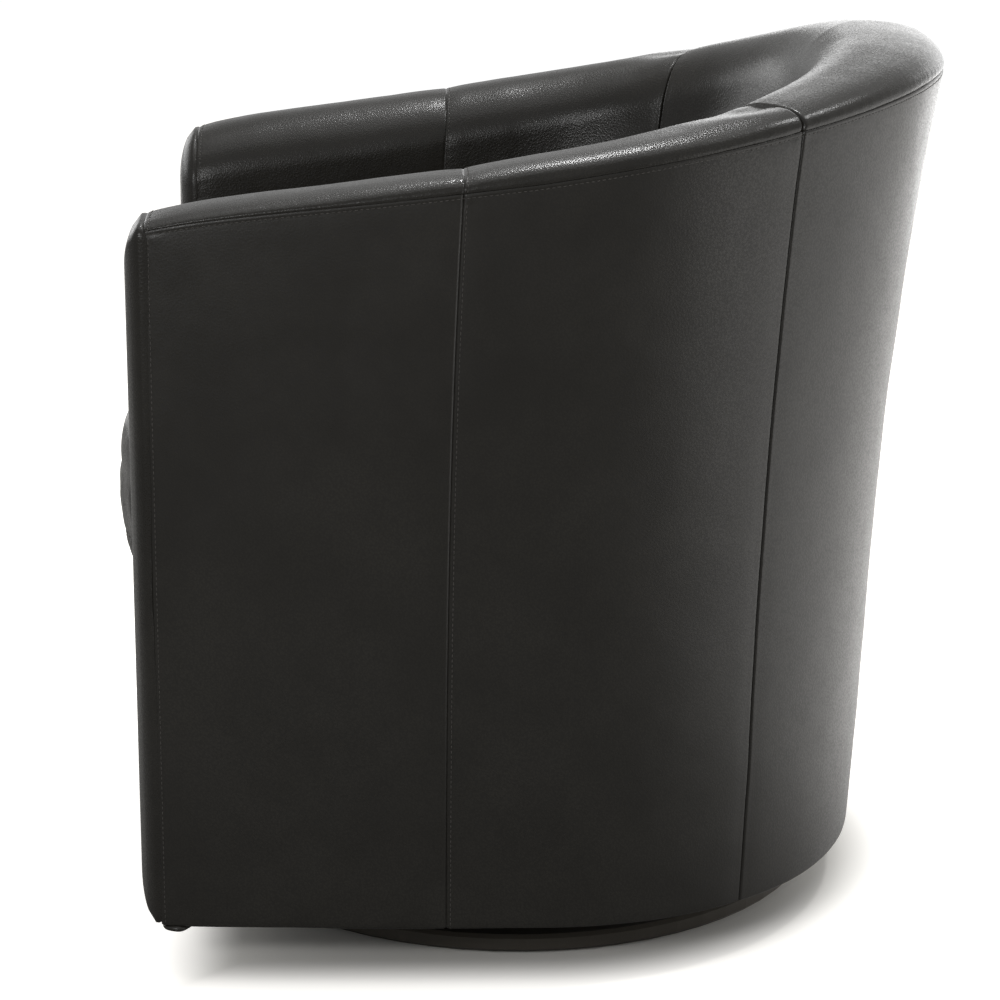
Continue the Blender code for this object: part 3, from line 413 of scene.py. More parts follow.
def wave_noise(points, size, seed):
    """Smooth uneven waves between about -1 and 1, the same each run, for arrays of points."""
    random = np.random.default_rng(seed)
    total = np.zeros(points.shape[:-1])
    for octave in range(6):
        direction = random.normal(size=3)
        direction /= np.linalg.norm(direction)
        wavelength = size * random.uniform(0.6, 1.7)
        phase = random.uniform(0, math.tau)
        bend = random.normal(size=3) / size * 0.8
        swing = np.sin(points @ bend * math.tau)
        total += np.sin(points @ direction * math.tau / wavelength + phase + swing)
    return total / 6


def seam_relief(distance, along, dip=SEAM_DIP, pull=SEAM_PULL, seed=0.0):
    """Depth that the leather is drawn in next to a seam, at a distance from it and a place along it."""
    sharp = dip * np.exp(-(distance / SEAM_WIDTH)**2)
    wide = pull * np.exp(-distance / SEAM_PULL_WIDTH)
    swing = PUCKER_SWING * np.sin(along * PUCKER_DRIFT + seed)
    wave = np.sin(along * math.tau / PUCKER_LENGTH + seed + swing)
    pucker = PUCKER * (1.0 + wave) * np.exp(-((distance - PUCKER_AWAY) / PUCKER_SPREAD)**2)
    return sharp + wide + pucker


def stitch_groove(distance):
    """Shallow groove in which a row of topstitching lies."""
    return TOPSTITCH_GROOVE * np.exp(-((distance - TOPSTITCH_AWAY) / TOPSTITCH_GROOVE_WIDTH)**2)


def new_object(name, verts, faces, finish, smooth=True):
    """Mesh object of a finished shape that rides on the tub."""
    mesh = bpy.data.meshes.new(name)
    mesh.from_pydata([tuple(point) for point in verts], [], faces)
    mesh.materials.append(finish)
    mesh.validate()
    if smooth:
        mesh.shade_smooth()
    made = bpy.data.objects.new(name, mesh)
    bpy.context.scene.collection.objects.link(made)
    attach(made, "tub")
    return made


def grid_faces(rows, columns, wrap=False):
    """Faces of a grid of points numbered row by row. With wrap, each row is a closed loop."""
    faces = []
    for row in range(rows - 1):
        near = row * columns
        far = near + columns
        for column in range(columns if wrap else columns - 1):
            following = (column + 1) % columns
            faces.append((near + column, near + following, far + following, far + column))
    return faces


def weld(piece, distance=1e-6):
    """Merges the points of a piece that lie on each other and turns its faces outwards."""
    shape = bmesh.new()
    shape.from_mesh(piece.data)
    bmesh.ops.remove_doubles(shape, verts=shape.verts, dist=distance)
    bmesh.ops.recalc_face_normals(shape, faces=shape.faces)
    shape.to_mesh(piece.data)
    shape.free()


def closed_piece(name, loops, finish, smooth=True):
    """Closed solid of a stack of loops of points, with a cap on the first and the last loop."""
    rows, columns = loops.shape[:2]
    faces = grid_faces(rows, columns, wrap=True)
    faces.append(tuple(range(columns))[::-1])
    faces.append(tuple(range((rows - 1) * columns, rows * columns)))
    piece = new_object(name, loops.reshape(-1, 3), faces, finish, smooth)
    weld(piece)
    return piece


def tucked(grid, normals):
    """The grid with rows behind its upright edges and a column behind its top one, turned in at the seams."""
    back = grid - normals * SEAM_TUCK
    grid = np.concatenate((back[:1], grid, back[-1:]))
    back = np.concatenate((back[:1], back, back[-1:]))
    return np.concatenate((back[:, :1], grid), 1)


def leather_from_grid(name, grid, normals, finish, turn_faces):
    """Mesh of a leather panel with its edges turned in."""
    full = tucked(grid, normals)
    faces = grid_faces(*full.shape[:2])
    if turn_faces:
        faces = [face[::-1] for face in faces]
    return new_object(name, full.reshape(-1, 3), faces, finish)


def section_grid(stations, section, last, cell, tail=()):
    """Points and distances of a panel, along each station's section line from part 0 to last.

    tail lists further parts after last, for a turned edge.
    """
    dense = np.linspace(0.0, last, 400)
    depths, heights, runs = [], [], []
    near = np.array(SEAM_STEPS)
    reference = None
    for station in stations:
        depth, height = section(np.full_like(dense, station), dense)
        run = np.concatenate(([0.0], np.cumsum(np.hypot(np.diff(depth), np.diff(height)))))
        if reference is None:
            count = max(int(round((run[-1] - near[-1]) / cell)), 2)
            reference = np.arange(1, count + 1) / count
        wanted = np.concatenate((near, near[-1] + (run[-1] - near[-1]) * reference))
        parts = np.concatenate((np.interp(wanted, run, dense), tail))
        depth, height = section(np.full_like(parts, station), parts)
        depths.append(depth)
        heights.append(height)
        runs.append(np.concatenate((wanted, np.full(len(tail), run[-1]))))
    depth, height = np.array(depths), np.array(heights)
    return wall(np.array(stations)[:, None], depth, height), np.array(runs)


PANELS = (
    ("back_panel", -REAR_SEAM, REAR_SEAM),
    ("side_panel_left", REAR_SEAM, MIDDLE_SEAM),
    ("side_panel_right", -MIDDLE_SEAM, -REAR_SEAM),
    ("arm_panel_left", MIDDLE_SEAM, 2.0),
    ("arm_panel_right", -2.0, -MIDDLE_SEAM),
)
PADDING_UNDER = {"back_panel": "back_padding", "arm_panel_left": "arm_padding_left",
                 "arm_panel_right": "arm_padding_right"}


def edge_distances(distances, rows):
    """Distances of each grid point from the panel's first and last upright seam."""
    from_start = np.repeat(distances[:, None], rows, axis=1)
    return from_start, distances[-1] - from_start


def upright_relief(start, end, from_start, from_end, along, rear_dips, middle_dip):
    """Depth drawn in at a panel's two upright seams. rear_dips are the back panel's and a side panel's."""
    total = 0.0
    back = start < 0.0 < end
    rear_dip = rear_dips[0] if back else rear_dips[1]
    for station, distance, seed in ((start, from_start, 0.4), (end, from_end, 2.1)):
        rear = abs(abs(station) - REAR_SEAM) < 1e-6
        dip = rear_dip if rear else middle_dip
        pull = (REAR_SEAM_PULL if back else REAR_UNDER_PULL) if rear else SEAM_PULL
        total = total + seam_relief(distance, along, dip, pull, seed + station)
    return total


def topstitch_side(name):
    """Which upright edges of a panel carry a row of topstitching: the first, the last or none."""
    return {"arm_panel_left": ("last",), "arm_panel_right": ("first",),
            "side_panel_left": ("last",), "side_panel_right": ("first",)}.get(name, ())


def groove_along(name, from_start, from_end):
    """Grooves for the upright rows of topstitching."""
    sides = topstitch_side(name)
    total = 0.0
    if "first" in sides:
        total = total + stitch_groove(from_start)
    if "last" in sides:
        total = total + stitch_groove(from_end)
    return total


def outer_relief(name, start, end, points, distances, runs):
    """Depth that an outer panel is drawn in at every grid point, short of the board behind it."""
    from_start, from_end = edge_distances(distances, points.shape[1])
    rear_dips = (REAR_SEAM_DIP, REAR_UNDER_DIP)
    drawn = upright_relief(start, end, from_start, from_end, points[..., 2], rear_dips, SEAM_DIP)
    drawn = drawn + seam_relief(runs, distances[:, None] + 0.0 * runs, OUTER_TOP_DIP, OUTER_TOP_PULL, 0.9)
    drawn = drawn + stitch_groove(runs) + groove_along(name, from_start, from_end)
    drawn = drawn + OUTER_WAVE * wave_noise(points, 0.21, 5) + OUTER_RIPPLE * wave_noise(points, 0.055, 8)
    return np.minimum(drawn, BOARD_ROOM)


def make_outer_leather(finish):
    """The outer panels, from the top seam to the hem under the bottom edge."""
    grids = {}
    for name, start, end in PANELS:
        stations, distances = stations_between(start, end, CELL)
        tail = np.concatenate((1.0 + np.arange(1, 6) / 5, 2.0 + np.arange(1, 5) / 4))
        points, runs = section_grid(stations, outer_section, 1.0, CELL, tail)
        normals = normals_of(points)
        relief = outer_relief(name, start, end, points, distances, runs)
        points = points - normals * relief[..., None]
        piece = leather_from_grid(f"outer_leather_{name}", points, normals, finish, True)
        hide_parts(f"outer_{name}")
        grids[name] = (points, normals, distances, runs)
    return grids


def make_backing_board(finish):
    """The bent board behind the outer leather, with the smooth curve that the leather is drawn over."""
    stations = np.linspace(-2.0, 2.0, 121)
    shares = np.linspace(0.0, 1.0, 14)
    low = BOTTOM_EDGE + BOARD_SHARE
    rings = []
    for station in stations:
        heights = low + (seam_height(station) - BOARD_TOP_ROOM - low) * shares
        outer = wall(np.full_like(heights, station), BOARD_SHARE, heights)
        inner = wall(np.full_like(heights, station), BOARD_SHARE + BOARD_THICKNESS, heights)
        rings.append(np.concatenate((outer, inner[::-1])))
    piece = closed_piece("bent_backing_board", np.array(rings), finish, False)
    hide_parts("outer_backing_board")


def pulled_roll(distance, runs):
    """Depth that the roll is drawn in towards a rear seam: a hollow, a ridge and folds like a fan."""
    near = np.exp(-(distance / PULL_REACH)**2)
    hollow = PULL_HOLLOW * np.exp(-((runs - PULL_HOLLOW_RUN) / PULL_WIDTH)**2)
    ridge = PULL_RIDGE * np.exp(-((runs - PULL_RIDGE_RUN) / PULL_WIDTH)**2)
    away = np.hypot(distance, runs)
    fan = np.sin(FAN_FOLDS * np.arctan2(runs, distance + FAN_OFFSET))
    grown = np.clip(away / FAN_PEAK, 0.0, 1.0)**2
    folds = FAN_DEPTH * fan * np.exp(-((away - FAN_PEAK) / FAN_REACH)**2) * grown
    return (hollow - ridge) * near + folds


def cover_relief(name, start, end, points, distances, runs):
    """Depth that the inner leather of a panel is drawn in over its padding, at every grid point."""
    from_start, from_end = edge_distances(distances, points.shape[1])
    rear_dips = (COVER_REAR_DIP, COVER_REAR_DIP)
    drawn = upright_relief(start, end, from_start, from_end, runs, rear_dips, COVER_SEAM_DIP)
    drawn = drawn + seam_relief(runs, distances[:, None] + 0.0 * runs, COVER_TOP_DIP, SEAM_PULL, 3.3)
    drawn = drawn + groove_along(name, from_start, from_end)
    plump = 1.0 - np.exp(-np.minimum(from_start, from_end) / PLUMP_WIDTH)
    drawn = drawn - PLUMP * plump * np.clip(runs / PLUMP_START, 0.0, 1.0)
    drawn = drawn + PADDING_WAVE * wave_noise(points, 0.085, 21)
    drawn = drawn + PADDING_RIPPLE * wave_noise(points, 0.034, 22)
    for station, distance in ((start, from_start), (end, from_end)):
        if abs(abs(station) - REAR_SEAM) < 1e-6:
            swing = REAR_FOLD_SWING * np.sin(runs * REAR_FOLD_DRIFT)
            folds = np.sin(runs * math.tau / REAR_FOLD_LENGTH + swing)
            started = np.clip(runs / REAR_FOLD_START - 1.0, 0.0, 1.0)
            reach = np.exp(-distance / REAR_FOLD_REACH) * started
            drawn = drawn + REAR_FOLD * folds * reach
            if not start < 0.0 < end:
                drawn = drawn + pulled_roll(distance, runs)
    return drawn


def make_inner_leather(finish):
    """The inner panels, which start at the outer top seam, go over the roll and down to the seat."""
    grids = {}
    for name, start, end in PANELS:
        stations, distances = stations_between(start, end, COVER_CELL)
        points, runs = section_grid(stations, cover_section, 3.0, COVER_CELL)
        normals = -normals_of(points)
        relief = cover_relief(name, start, end, points, distances, runs)
        points = points - normals * relief[..., None]
        piece = leather_from_grid(f"inner_leather_{name}", points, normals, finish, False)
        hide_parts(f"inner_{name}")
        grids[name] = (points, normals, distances, runs)
    for panel, padding in PADDING_UNDER.items():
        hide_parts(padding)
    return grids


def facing_section(side):
    """Corner points of an arm's front end, as depths and heights, evenly spaced round it."""
    station = 2.0 * side
    seam = float(seam_height(np.array(station)))
    parts = np.linspace(0.0, 2.0, 120)
    depth, height = cover_section(np.full_like(parts, station), parts)
    low = BOTTOM_EDGE + FACING_CORNER
    outer_corner = []
    for angle in np.linspace(0.0, math.pi / 2, 8)[::-1]:
        outer_corner.append((FACING_CORNER * (1 - math.cos(angle)), low - FACING_CORNER * math.sin(angle)))
    inner_corner = [(ARM_THICKNESS - d, h) for d, h in outer_corner[::-1]]
    line = outer_corner + [(0.0, seam)] + list(zip(depth, height)) + [(ARM_THICKNESS, low)] + inner_corner
    closed = np.array(line + line[:1])
    order = np.arange(len(closed))
    length = at_lengths(order, closed, 0.0)[1]
    count = int(length / FACING_CELL)
    places = at_lengths(order, closed, length * np.arange(count) / count)[0]
    return np.stack([np.interp(places, order, closed[:, axis]) for axis in (0, 1)], -1)


def facing_rings(side, section, spine):
    """Rings of points of an arm's front, from its seam forwards over the dome."""
    half = ARM_THICKNESS / 2
    profile = [(1.0 - FACING_SIDE_SLOPE * step / half, step) for step in SEAM_STEPS[:6]]
    first, share = FACING_DOME
    for angle in np.linspace(first, 1.0, 12) * math.pi / 2 * share:
        profile.append((math.cos(angle), FACING_BULGE * math.sin(angle)))
    rings = []
    for size, forward in profile:
        depth = half + (section[:, 0] - half) * size
        height = spine + (section[:, 1] - spine) * size
        ring = wall(2.0 * side, depth, height)
        ring[:, 1] -= forward
        rings.append(ring)
    return np.array(rings)


def make_facings(finish):
    """The padded fronts of the arms, sewn all round and domed forwards."""
    half = ARM_THICKNESS / 2
    top = seam_height(np.array(2.0)) + FRONT_ROLL_RISE - half
    for side, word in ((1, "left"), (-1, "right")):
        section = facing_section(side)
        spine = np.clip(section[:, 1], BOTTOM_EDGE + half, top)
        grid = facing_rings(side, section, spine)
        around = np.arange(grid.shape[1]) * FACING_CELL
        away = np.linalg.norm(grid - grid[0], axis=-1)
        inwards = grid.mean(axis=1, keepdims=True) - grid
        inwards /= np.maximum(np.linalg.norm(inwards, axis=-1, keepdims=True), 1e-9)
        drawn = seam_relief(away, around[None, :] + 0.0 * away, SEAM_DIP, FACING_PULL, 1.0)
        drawn = drawn + FACING_WAVE * wave_noise(grid, 0.05, 31)
        grid = grid + inwards * drawn[..., None]
        tuck = grid[:1] + inwards[:1] * SEAM_TUCK + np.array((0.0, SEAM_TUCK, 0.0))
        last = grid[-1:]
        middle = wall(2.0 * side, half, spine)[None]
        middle[..., 1] = last[..., 1] - FACING_MIDDLE_STEP
        full = np.concatenate((tuck, grid, last * 0.5 + middle * 0.5, middle))
        faces = grid_faces(*full.shape[:2], wrap=True)
        if side == 1:
            faces = [face[::-1] for face in faces]
        piece = new_object(f"arm_front_leather_{word}", full.reshape(-1, 3), faces, finish)
        weld(piece, 0.0002)
        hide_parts(f"arm_front_facing_{word}")


def offset_line(grid, index, distance):
    """Points on a panel's grid along one of its edges, at a distance in from it, with their normals."""
    points, normals, distances, runs = grid
    if index in ("first", "last"):
        offsets = distances if index == "first" else distances[-1] - distances
        order = np.argsort(offsets)
        place = np.interp(distance, offsets[order], order)
        low = int(math.floor(place))
        share = place - low
        high = min(low + 1, len(points) - 1)
        return (points[low] * (1 - share) + points[high] * share,
                normals[low] * (1 - share) + normals[high] * share)
    line, line_normals = [], []
    for row, row_normals, run in zip(points, normals, runs):
        line.append([np.interp(distance, run, row[:, axis]) for axis in range(3)])
        line_normals.append([np.interp(distance, run, row_normals[:, axis]) for axis in range(3)])
    return np.array(line), np.array(line_normals)


def stitch_rows(outer, inner):
    """Lines of all the rows of topstitching on the tub, as points with the leather's normals."""
    rows = []
    for name, _, _ in PANELS:
        rows.append(offset_line(outer[name], "top", TOPSTITCH_AWAY))
        for side in topstitch_side(name):
            points, normals = offset_line(outer[name], side, TOPSTITCH_AWAY)
            rows.append((points[7:-6], normals[7:-6]))
            points, normals = offset_line(inner[name], side, TOPSTITCH_AWAY)
            rows.append((points[3:], normals[3:]))
    return rows


def laid_tree(name, shape):
    """Geometry Nodes tree that lays stitches or staples end to end along polylines. shape is bead or bar."""
    tree = bpy.data.node_groups.new(name, "GeometryNodeTree")
    for entry, kind in (("Geometry", "Geometry"), ("Pitch", "Float"), ("Stitch Length", "Float"),
                        ("Thread Radius", "Float"), ("Thread", "Material")):
        tree.interface.new_socket(entry, in_out="INPUT", socket_type=f"NodeSocket{kind}")
    tree.interface.new_socket("Geometry", in_out="OUTPUT", socket_type="NodeSocketGeometry")
    given = tree.nodes.new("NodeGroupInput").outputs
    curve = put(tree, "GeometryNodeMeshToCurve", Mesh=given["Geometry"])
    spaced = put(tree, "GeometryNodeCurveToPoints", {"mode": "LENGTH"}, Curve=curve.outputs["Curve"],
                 Length=given["Pitch"])
    if shape == "bead":
        unit = put(tree, "GeometryNodeMeshUVSphere", Segments=6, Rings=5, Radius=1.0)
    else:
        unit = put(tree, "GeometryNodeMeshCube", Size=(2.0, 2.0, 2.0))
    half = calculate(tree, "MULTIPLY", given["Stitch Length"], 0.5)
    size = put(tree, "ShaderNodeCombineXYZ", X=given["Thread Radius"], Y=given["Thread Radius"], Z=half)
    turn = put(tree, "FunctionNodeAlignRotationToVector", {"axis": "Z"}, Vector=spaced.outputs["Tangent"])
    placed = put(tree, "GeometryNodeInstanceOnPoints", Points=spaced.outputs["Points"],
                 Instance=unit.outputs["Mesh"], Rotation=turn.outputs["Rotation"],
                 Scale=size.outputs["Vector"])
    real = put(tree, "GeometryNodeRealizeInstances", Geometry=placed.outputs["Instances"])
    rounded = put(tree, "GeometryNodeSetShadeSmooth", Geometry=real.outputs["Geometry"],
                  Shade_Smooth=shape == "bead")
    painted = put(tree, "GeometryNodeSetMaterial", Geometry=rounded.outputs["Geometry"],
                  Material=given["Thread"])
    put(tree, "NodeGroupOutput", Geometry=painted.outputs["Geometry"])
    return tree


def bake(name, lines, tree, values):
    """Plain mesh of a Geometry Nodes tree run on polylines, riding on the tub."""
    mesh = bpy.data.meshes.new(name + "_lines")
    verts, edges = [], []
    for line in lines:
        edges += [(len(verts) + step, len(verts) + step + 1) for step in range(len(line) - 1)]
        verts += [tuple(point) for point in line]
    mesh.from_pydata(verts, edges, [])
    carrier = bpy.data.objects.new(name + "_lines", mesh)
    bpy.context.scene.collection.objects.link(carrier)
    modifier = carrier.modifiers.new("lay", "NODES")
    modifier.node_group = tree
    sockets = {item.name: item.identifier for item in tree.interface.items_tree if item.in_out == "INPUT"}
    for socket, value in values.items():
        modifier[sockets[socket]] = value
    graph = bpy.context.evaluated_depsgraph_get()
    result = bpy.data.meshes.new_from_object(carrier.evaluated_get(graph), depsgraph=graph)
    bpy.data.objects.remove(carrier)
    result.name = name
    made = bpy.data.objects.new(name, result)
    bpy.context.scene.collection.objects.link(made)
    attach(made, "tub")


def make_stitches(outer, inner, cushion_line, thread):
    """All the topstitching of the leather."""
    lines = [points + normals * STITCH_RADIUS * STITCH_LIFT for points, normals in stitch_rows(outer, inner)]
    values = {"Pitch": STITCH_PITCH, "Stitch Length": STITCH_LENGTH, "Thread Radius": STITCH_RADIUS,
              "Thread": thread}
    tree = laid_tree("stitches_along_line", "bead")
    bake("leather_topstitching", lines + [cushion_line], tree, values)


def cushion_edge(height, draw):
    """Outline of the cushion at a height, drawn in from the walls and from its front edge."""
    limit = 2.0 - HEM_WIDTH / ARM_REACH
    stations = np.concatenate((-np.linspace(1.0, limit, 30)[::-1], np.linspace(-1.0, 1.0, 90)[1:-1],
                               np.linspace(1.0, limit, 30)))
    depth = thickness(stations, height) + CUSHION_WALL_CLEARANCE + draw
    sides = wall(stations, depth, height)[:, :2]
    corner = sides[-1, 0] - CUSHION_EDGE_DRAW
    across = corner * np.cos(np.linspace(0.0, math.pi, 60))
    front = np.stack((across, -CUSHION_FRONT_REACH + CUSHION_FRONT_CURVE * across**2 + draw), -1)
    return np.concatenate((sides, front))


def cushion_start(inset):
    """Loops of the cushion before it is filled, from the bottom up the side and in over the crown."""
    shares, drawn = zip(*CUSHION_SIDE)
    loops = []
    for share in np.linspace(0.0, 1.0, 16):
        height = CUSHION_BOTTOM + CUSHION_SIDE_HEIGHT * share
        plan = cushion_edge(height, CUSHION_EDGE_DRAW * np.interp(share, shares, drawn) + inset)
        ahead = np.clip((RAIL_FACE - plan[:, 1]) / CUSHION_DROOP_LENGTH, 0.0, 1.0)
        droop = CUSHION_DROOP * ahead * max(1.0 - share / CUSHION_DROOP_SHARE, 0.0)
        loops.append(np.column_stack((plan, height - droop)))
    last = loops[-1]
    middle = last.mean(axis=0)
    for share in np.linspace(0.95, 0.05, 12):
        ring = middle + (last - middle) * share
        ring[:, 2] += (CUSHION_CROWN - inset) * (1.0 - share**2)
        loops.append(ring)
    return loops


def fill_with_foam(piece):
    """Blows a closed cover up with a short cloth simulation and caps how far its points may move."""
    remesh = piece.modifiers.new("even", "REMESH")
    remesh.mode = "VOXEL"
    remesh.voxel_size = CUSHION_VOXEL
    apply_modifiers(piece)
    mesh = piece.data
    count = len(mesh.vertices)
    before = np.empty(count * 3)
    mesh.vertices.foreach_get("co", before)
    before = before.reshape(-1, 3)
    held = piece.vertex_groups.new(name="held")
    low = np.flatnonzero(before[:, 2] < CUSHION_BOTTOM + CUSHION_HELD_HEIGHT)
    held.add(low.tolist(), 1.0, "REPLACE")
    cloth = piece.modifiers.new("fill", "CLOTH")
    cloth.settings.use_pressure = True
    cloth.settings.uniform_pressure_force = CUSHION_PRESSURE
    cloth.settings.vertex_group_mass = "held"
    cloth.settings.effector_weights.gravity = 0.0
    cloth.point_cache.frame_start = 1
    cloth.point_cache.frame_end = CUSHION_FRAMES
    scene = bpy.context.scene
    for number in range(1, CUSHION_FRAMES + 1):
        scene.frame_set(number)
    apply_modifiers(piece)
    after = np.empty(count * 3)
    piece.data.vertices.foreach_get("co", after)
    moved = after.reshape(-1, 3) - before
    length = np.linalg.norm(moved, axis=1, keepdims=True)
    capped = before + moved * np.minimum(1.0, CUSHION_CAP / np.maximum(length, 1e-9))
    piece.data.vertices.foreach_set("co", capped.ravel())
    scene.frame_set(1)


def apply_modifiers(piece):
    """Replaces a piece's mesh by what its modifiers make of it."""
    graph = bpy.context.evaluated_depsgraph_get()
    graph.update()
    result = bpy.data.meshes.new_from_object(piece.evaluated_get(graph), depsgraph=graph)
    piece.modifiers.clear()
    piece.data = result


def cushion_stitch_line(piece):
    """The row of topstitching along the cushion's front, found on its filled surface."""
    surface = BVHTree.FromObject(piece, bpy.context.evaluated_depsgraph_get())
    line = []
    for across in np.linspace(-CUSHION_STITCH_HALF, CUSHION_STITCH_HALF, 90):
        start = Vector((across, -1.0, CUSHION_SEAM_HEIGHT + TOPSTITCH_AWAY))
        place, normal = surface.ray_cast(start, Vector((0.0, 1.0, 0.0)))[:2]
        if place is not None:
            line.append(place + normal * STITCH_RADIUS * STITCH_LIFT)
    return np.array(line)


def make_cushion(finish):
    """The seat cushion: crowned, sewn round its edge, filled by a short simulation."""
    piece = closed_piece("seat_cushion_leather", np.array(cushion_start(CUSHION_START_INSET)), finish)
    fill_with_foam(piece)
    finer = piece.modifiers.new("finer", "SUBSURF")
    finer.levels = 1
    finer.render_levels = 1
    apply_modifiers(piece)
    mesh = piece.data
    count = len(mesh.vertices)
    place = np.empty(count * 3)
    normal = np.empty(count * 3)
    mesh.vertices.foreach_get("co", place)
    mesh.vertices.foreach_get("normal", normal)
    place, normal = place.reshape(-1, 3), normal.reshape(-1, 3)
    level = np.abs(place[:, 2] - CUSHION_SEAM_HEIGHT)
    on_side = np.clip(np.hypot(normal[:, 0], normal[:, 1]) * CUSHION_SIDE_BLEND, 0.0, 1.0)
    along = place[:, 0] + place[:, 1]
    dip = CUSHION_SEAM_DIP * np.exp(-(level / CUSHION_SEAM_WIDTH)**2)
    dip = dip + CUSHION_SEAM_PULL * np.exp(-level / CUSHION_SEAM_PULL_WIDTH)
    ripple = CUSHION_PUCKER * np.sin(along * math.tau / CUSHION_PUCKER_LENGTH)
    ripple = ripple * np.exp(-level / CUSHION_PUCKER_WIDTH)
    wave = CUSHION_WAVE * wave_noise(place, 0.12, 44) + CUSHION_RIPPLE * wave_noise(place, 0.05, 45)
    place = place - normal * ((dip + ripple) * on_side + wave)[:, None]
    mesh.vertices.foreach_set("co", place.ravel())
    mesh.update()
    mesh.shade_smooth()
    mesh.materials.clear()
    mesh.materials.append(finish)
    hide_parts("seat_cushion_cover", "seat_cushion_foam")
    return piece


def make_front_leather(finish):
    """The leather on the front rail under the cushion, pulled tight and turned forwards along the arms."""
    half = float(wall(2.0, ARM_THICKNESS, BOTTOM_EDGE)[0]) + RAIL_LEATHER_OVERLAP
    flat = np.linspace(-half, half, 110)
    turned = np.linspace(0.0, RAIL_LEATHER_TURNED, 6)[1:]
    across = np.concatenate((np.full(len(turned), -half), flat, np.full(len(turned), half)))
    forward = np.concatenate((turned[::-1], np.zeros(len(flat)), turned))
    face = RAIL_FACE - RAIL_LEATHER_ROOM
    low = BOTTOM_EDGE + BOTTOM_ROUND
    path = [(face, height) for height in np.linspace(DECK_TOP - RAIL_LEATHER_DROP, low, 60)]
    for angle in np.linspace(0.0, math.pi / 2, 6)[1:]:
        path.append((face + BOTTOM_ROUND * (1 - math.cos(angle)), low - BOTTOM_ROUND * math.sin(angle)))
    path += [(face + BOTTOM_ROUND + step * COVER_CELL, BOTTOM_EDGE) for step in range(1, 5)]
    path = np.array(path)
    grid = np.empty((len(across), len(path), 3))
    grid[..., 0] = across[:, None]
    grid[..., 1] = path[None, :, 0] - forward[:, None]
    grid[..., 2] = path[None, :, 1]
    side = np.minimum(across + half, half - across)[:, None]
    pulls = RAIL_PULL * np.sin(grid[..., 2] * math.tau / RAIL_PULL_LENGTH) * np.exp(-side / RAIL_PULL_REACH)
    grid[..., 1] += pulls + RAIL_WAVE * wave_noise(grid, 0.10, 61)
    faces = grid_faces(*grid.shape[:2])
    piece = new_object("front_rail_leather", grid.reshape(-1, 3), faces, finish)
    if normals_of(grid)[len(across) // 2, 5, 1] > 0:
        piece.data.flip_normals()
    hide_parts("front_rail_cover")


def loops_between(edge, inner, count):
    """Loops of points from an outline in to another one with as many points."""
    shares = np.linspace(0.0, 1.0, count)[:, None, None]
    return edge[None] * (1.0 - shares) + inner[None] * shares


def make_deck_felt(finish):
    """The felt that lies on the springs, pressed slightly uneven."""
    limit = 1.0 - RAIL_FACE / ARM_REACH
    stations = np.linspace(-limit, limit, 140)
    depth = thickness(stations, INSIDE_BOTTOM) + CUSHION_WALL_CLEARANCE
    bent = wall(stations, depth, INSIDE_BOTTOM)[:, :2]
    across = np.linspace(bent[-1, 0], bent[0, 0], 60)[1:-1]
    edge = np.concatenate((bent, np.stack((across, np.full_like(across, bent[0, 1])), -1)))
    loops = loops_between(edge, edge * 0.02, 30)
    top = np.concatenate((loops, np.full((*loops.shape[:2], 1), DECK_TOP - FELT_WAVE)), -1)
    top[..., 2] += FELT_WAVE * wave_noise(top, 0.05, 71)
    low = np.concatenate((loops[::-1], np.full((*loops.shape[:2], 1), INSIDE_BOTTOM)), -1)
    piece = closed_piece("seat_deck_felt", np.concatenate((low, top)), finish)
    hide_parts("seat_deck_pad")


def cloth_edge(inset):
    """Outline of the cloth under the chair, drawn in by an inset."""
    limit = 1.0 - RAIL_FACE / ARM_REACH
    stations = np.linspace(-limit, limit, 220)
    bent = wall(stations, CLOTH_INSET + inset, BOTTOM_EDGE)[:, :2]
    across = np.linspace(bent[-1, 0], bent[0, 0], 90)[1:-1]
    front = np.stack((across, np.full_like(across, bent[0, 1] + inset)), -1)
    return np.concatenate((bent, front))


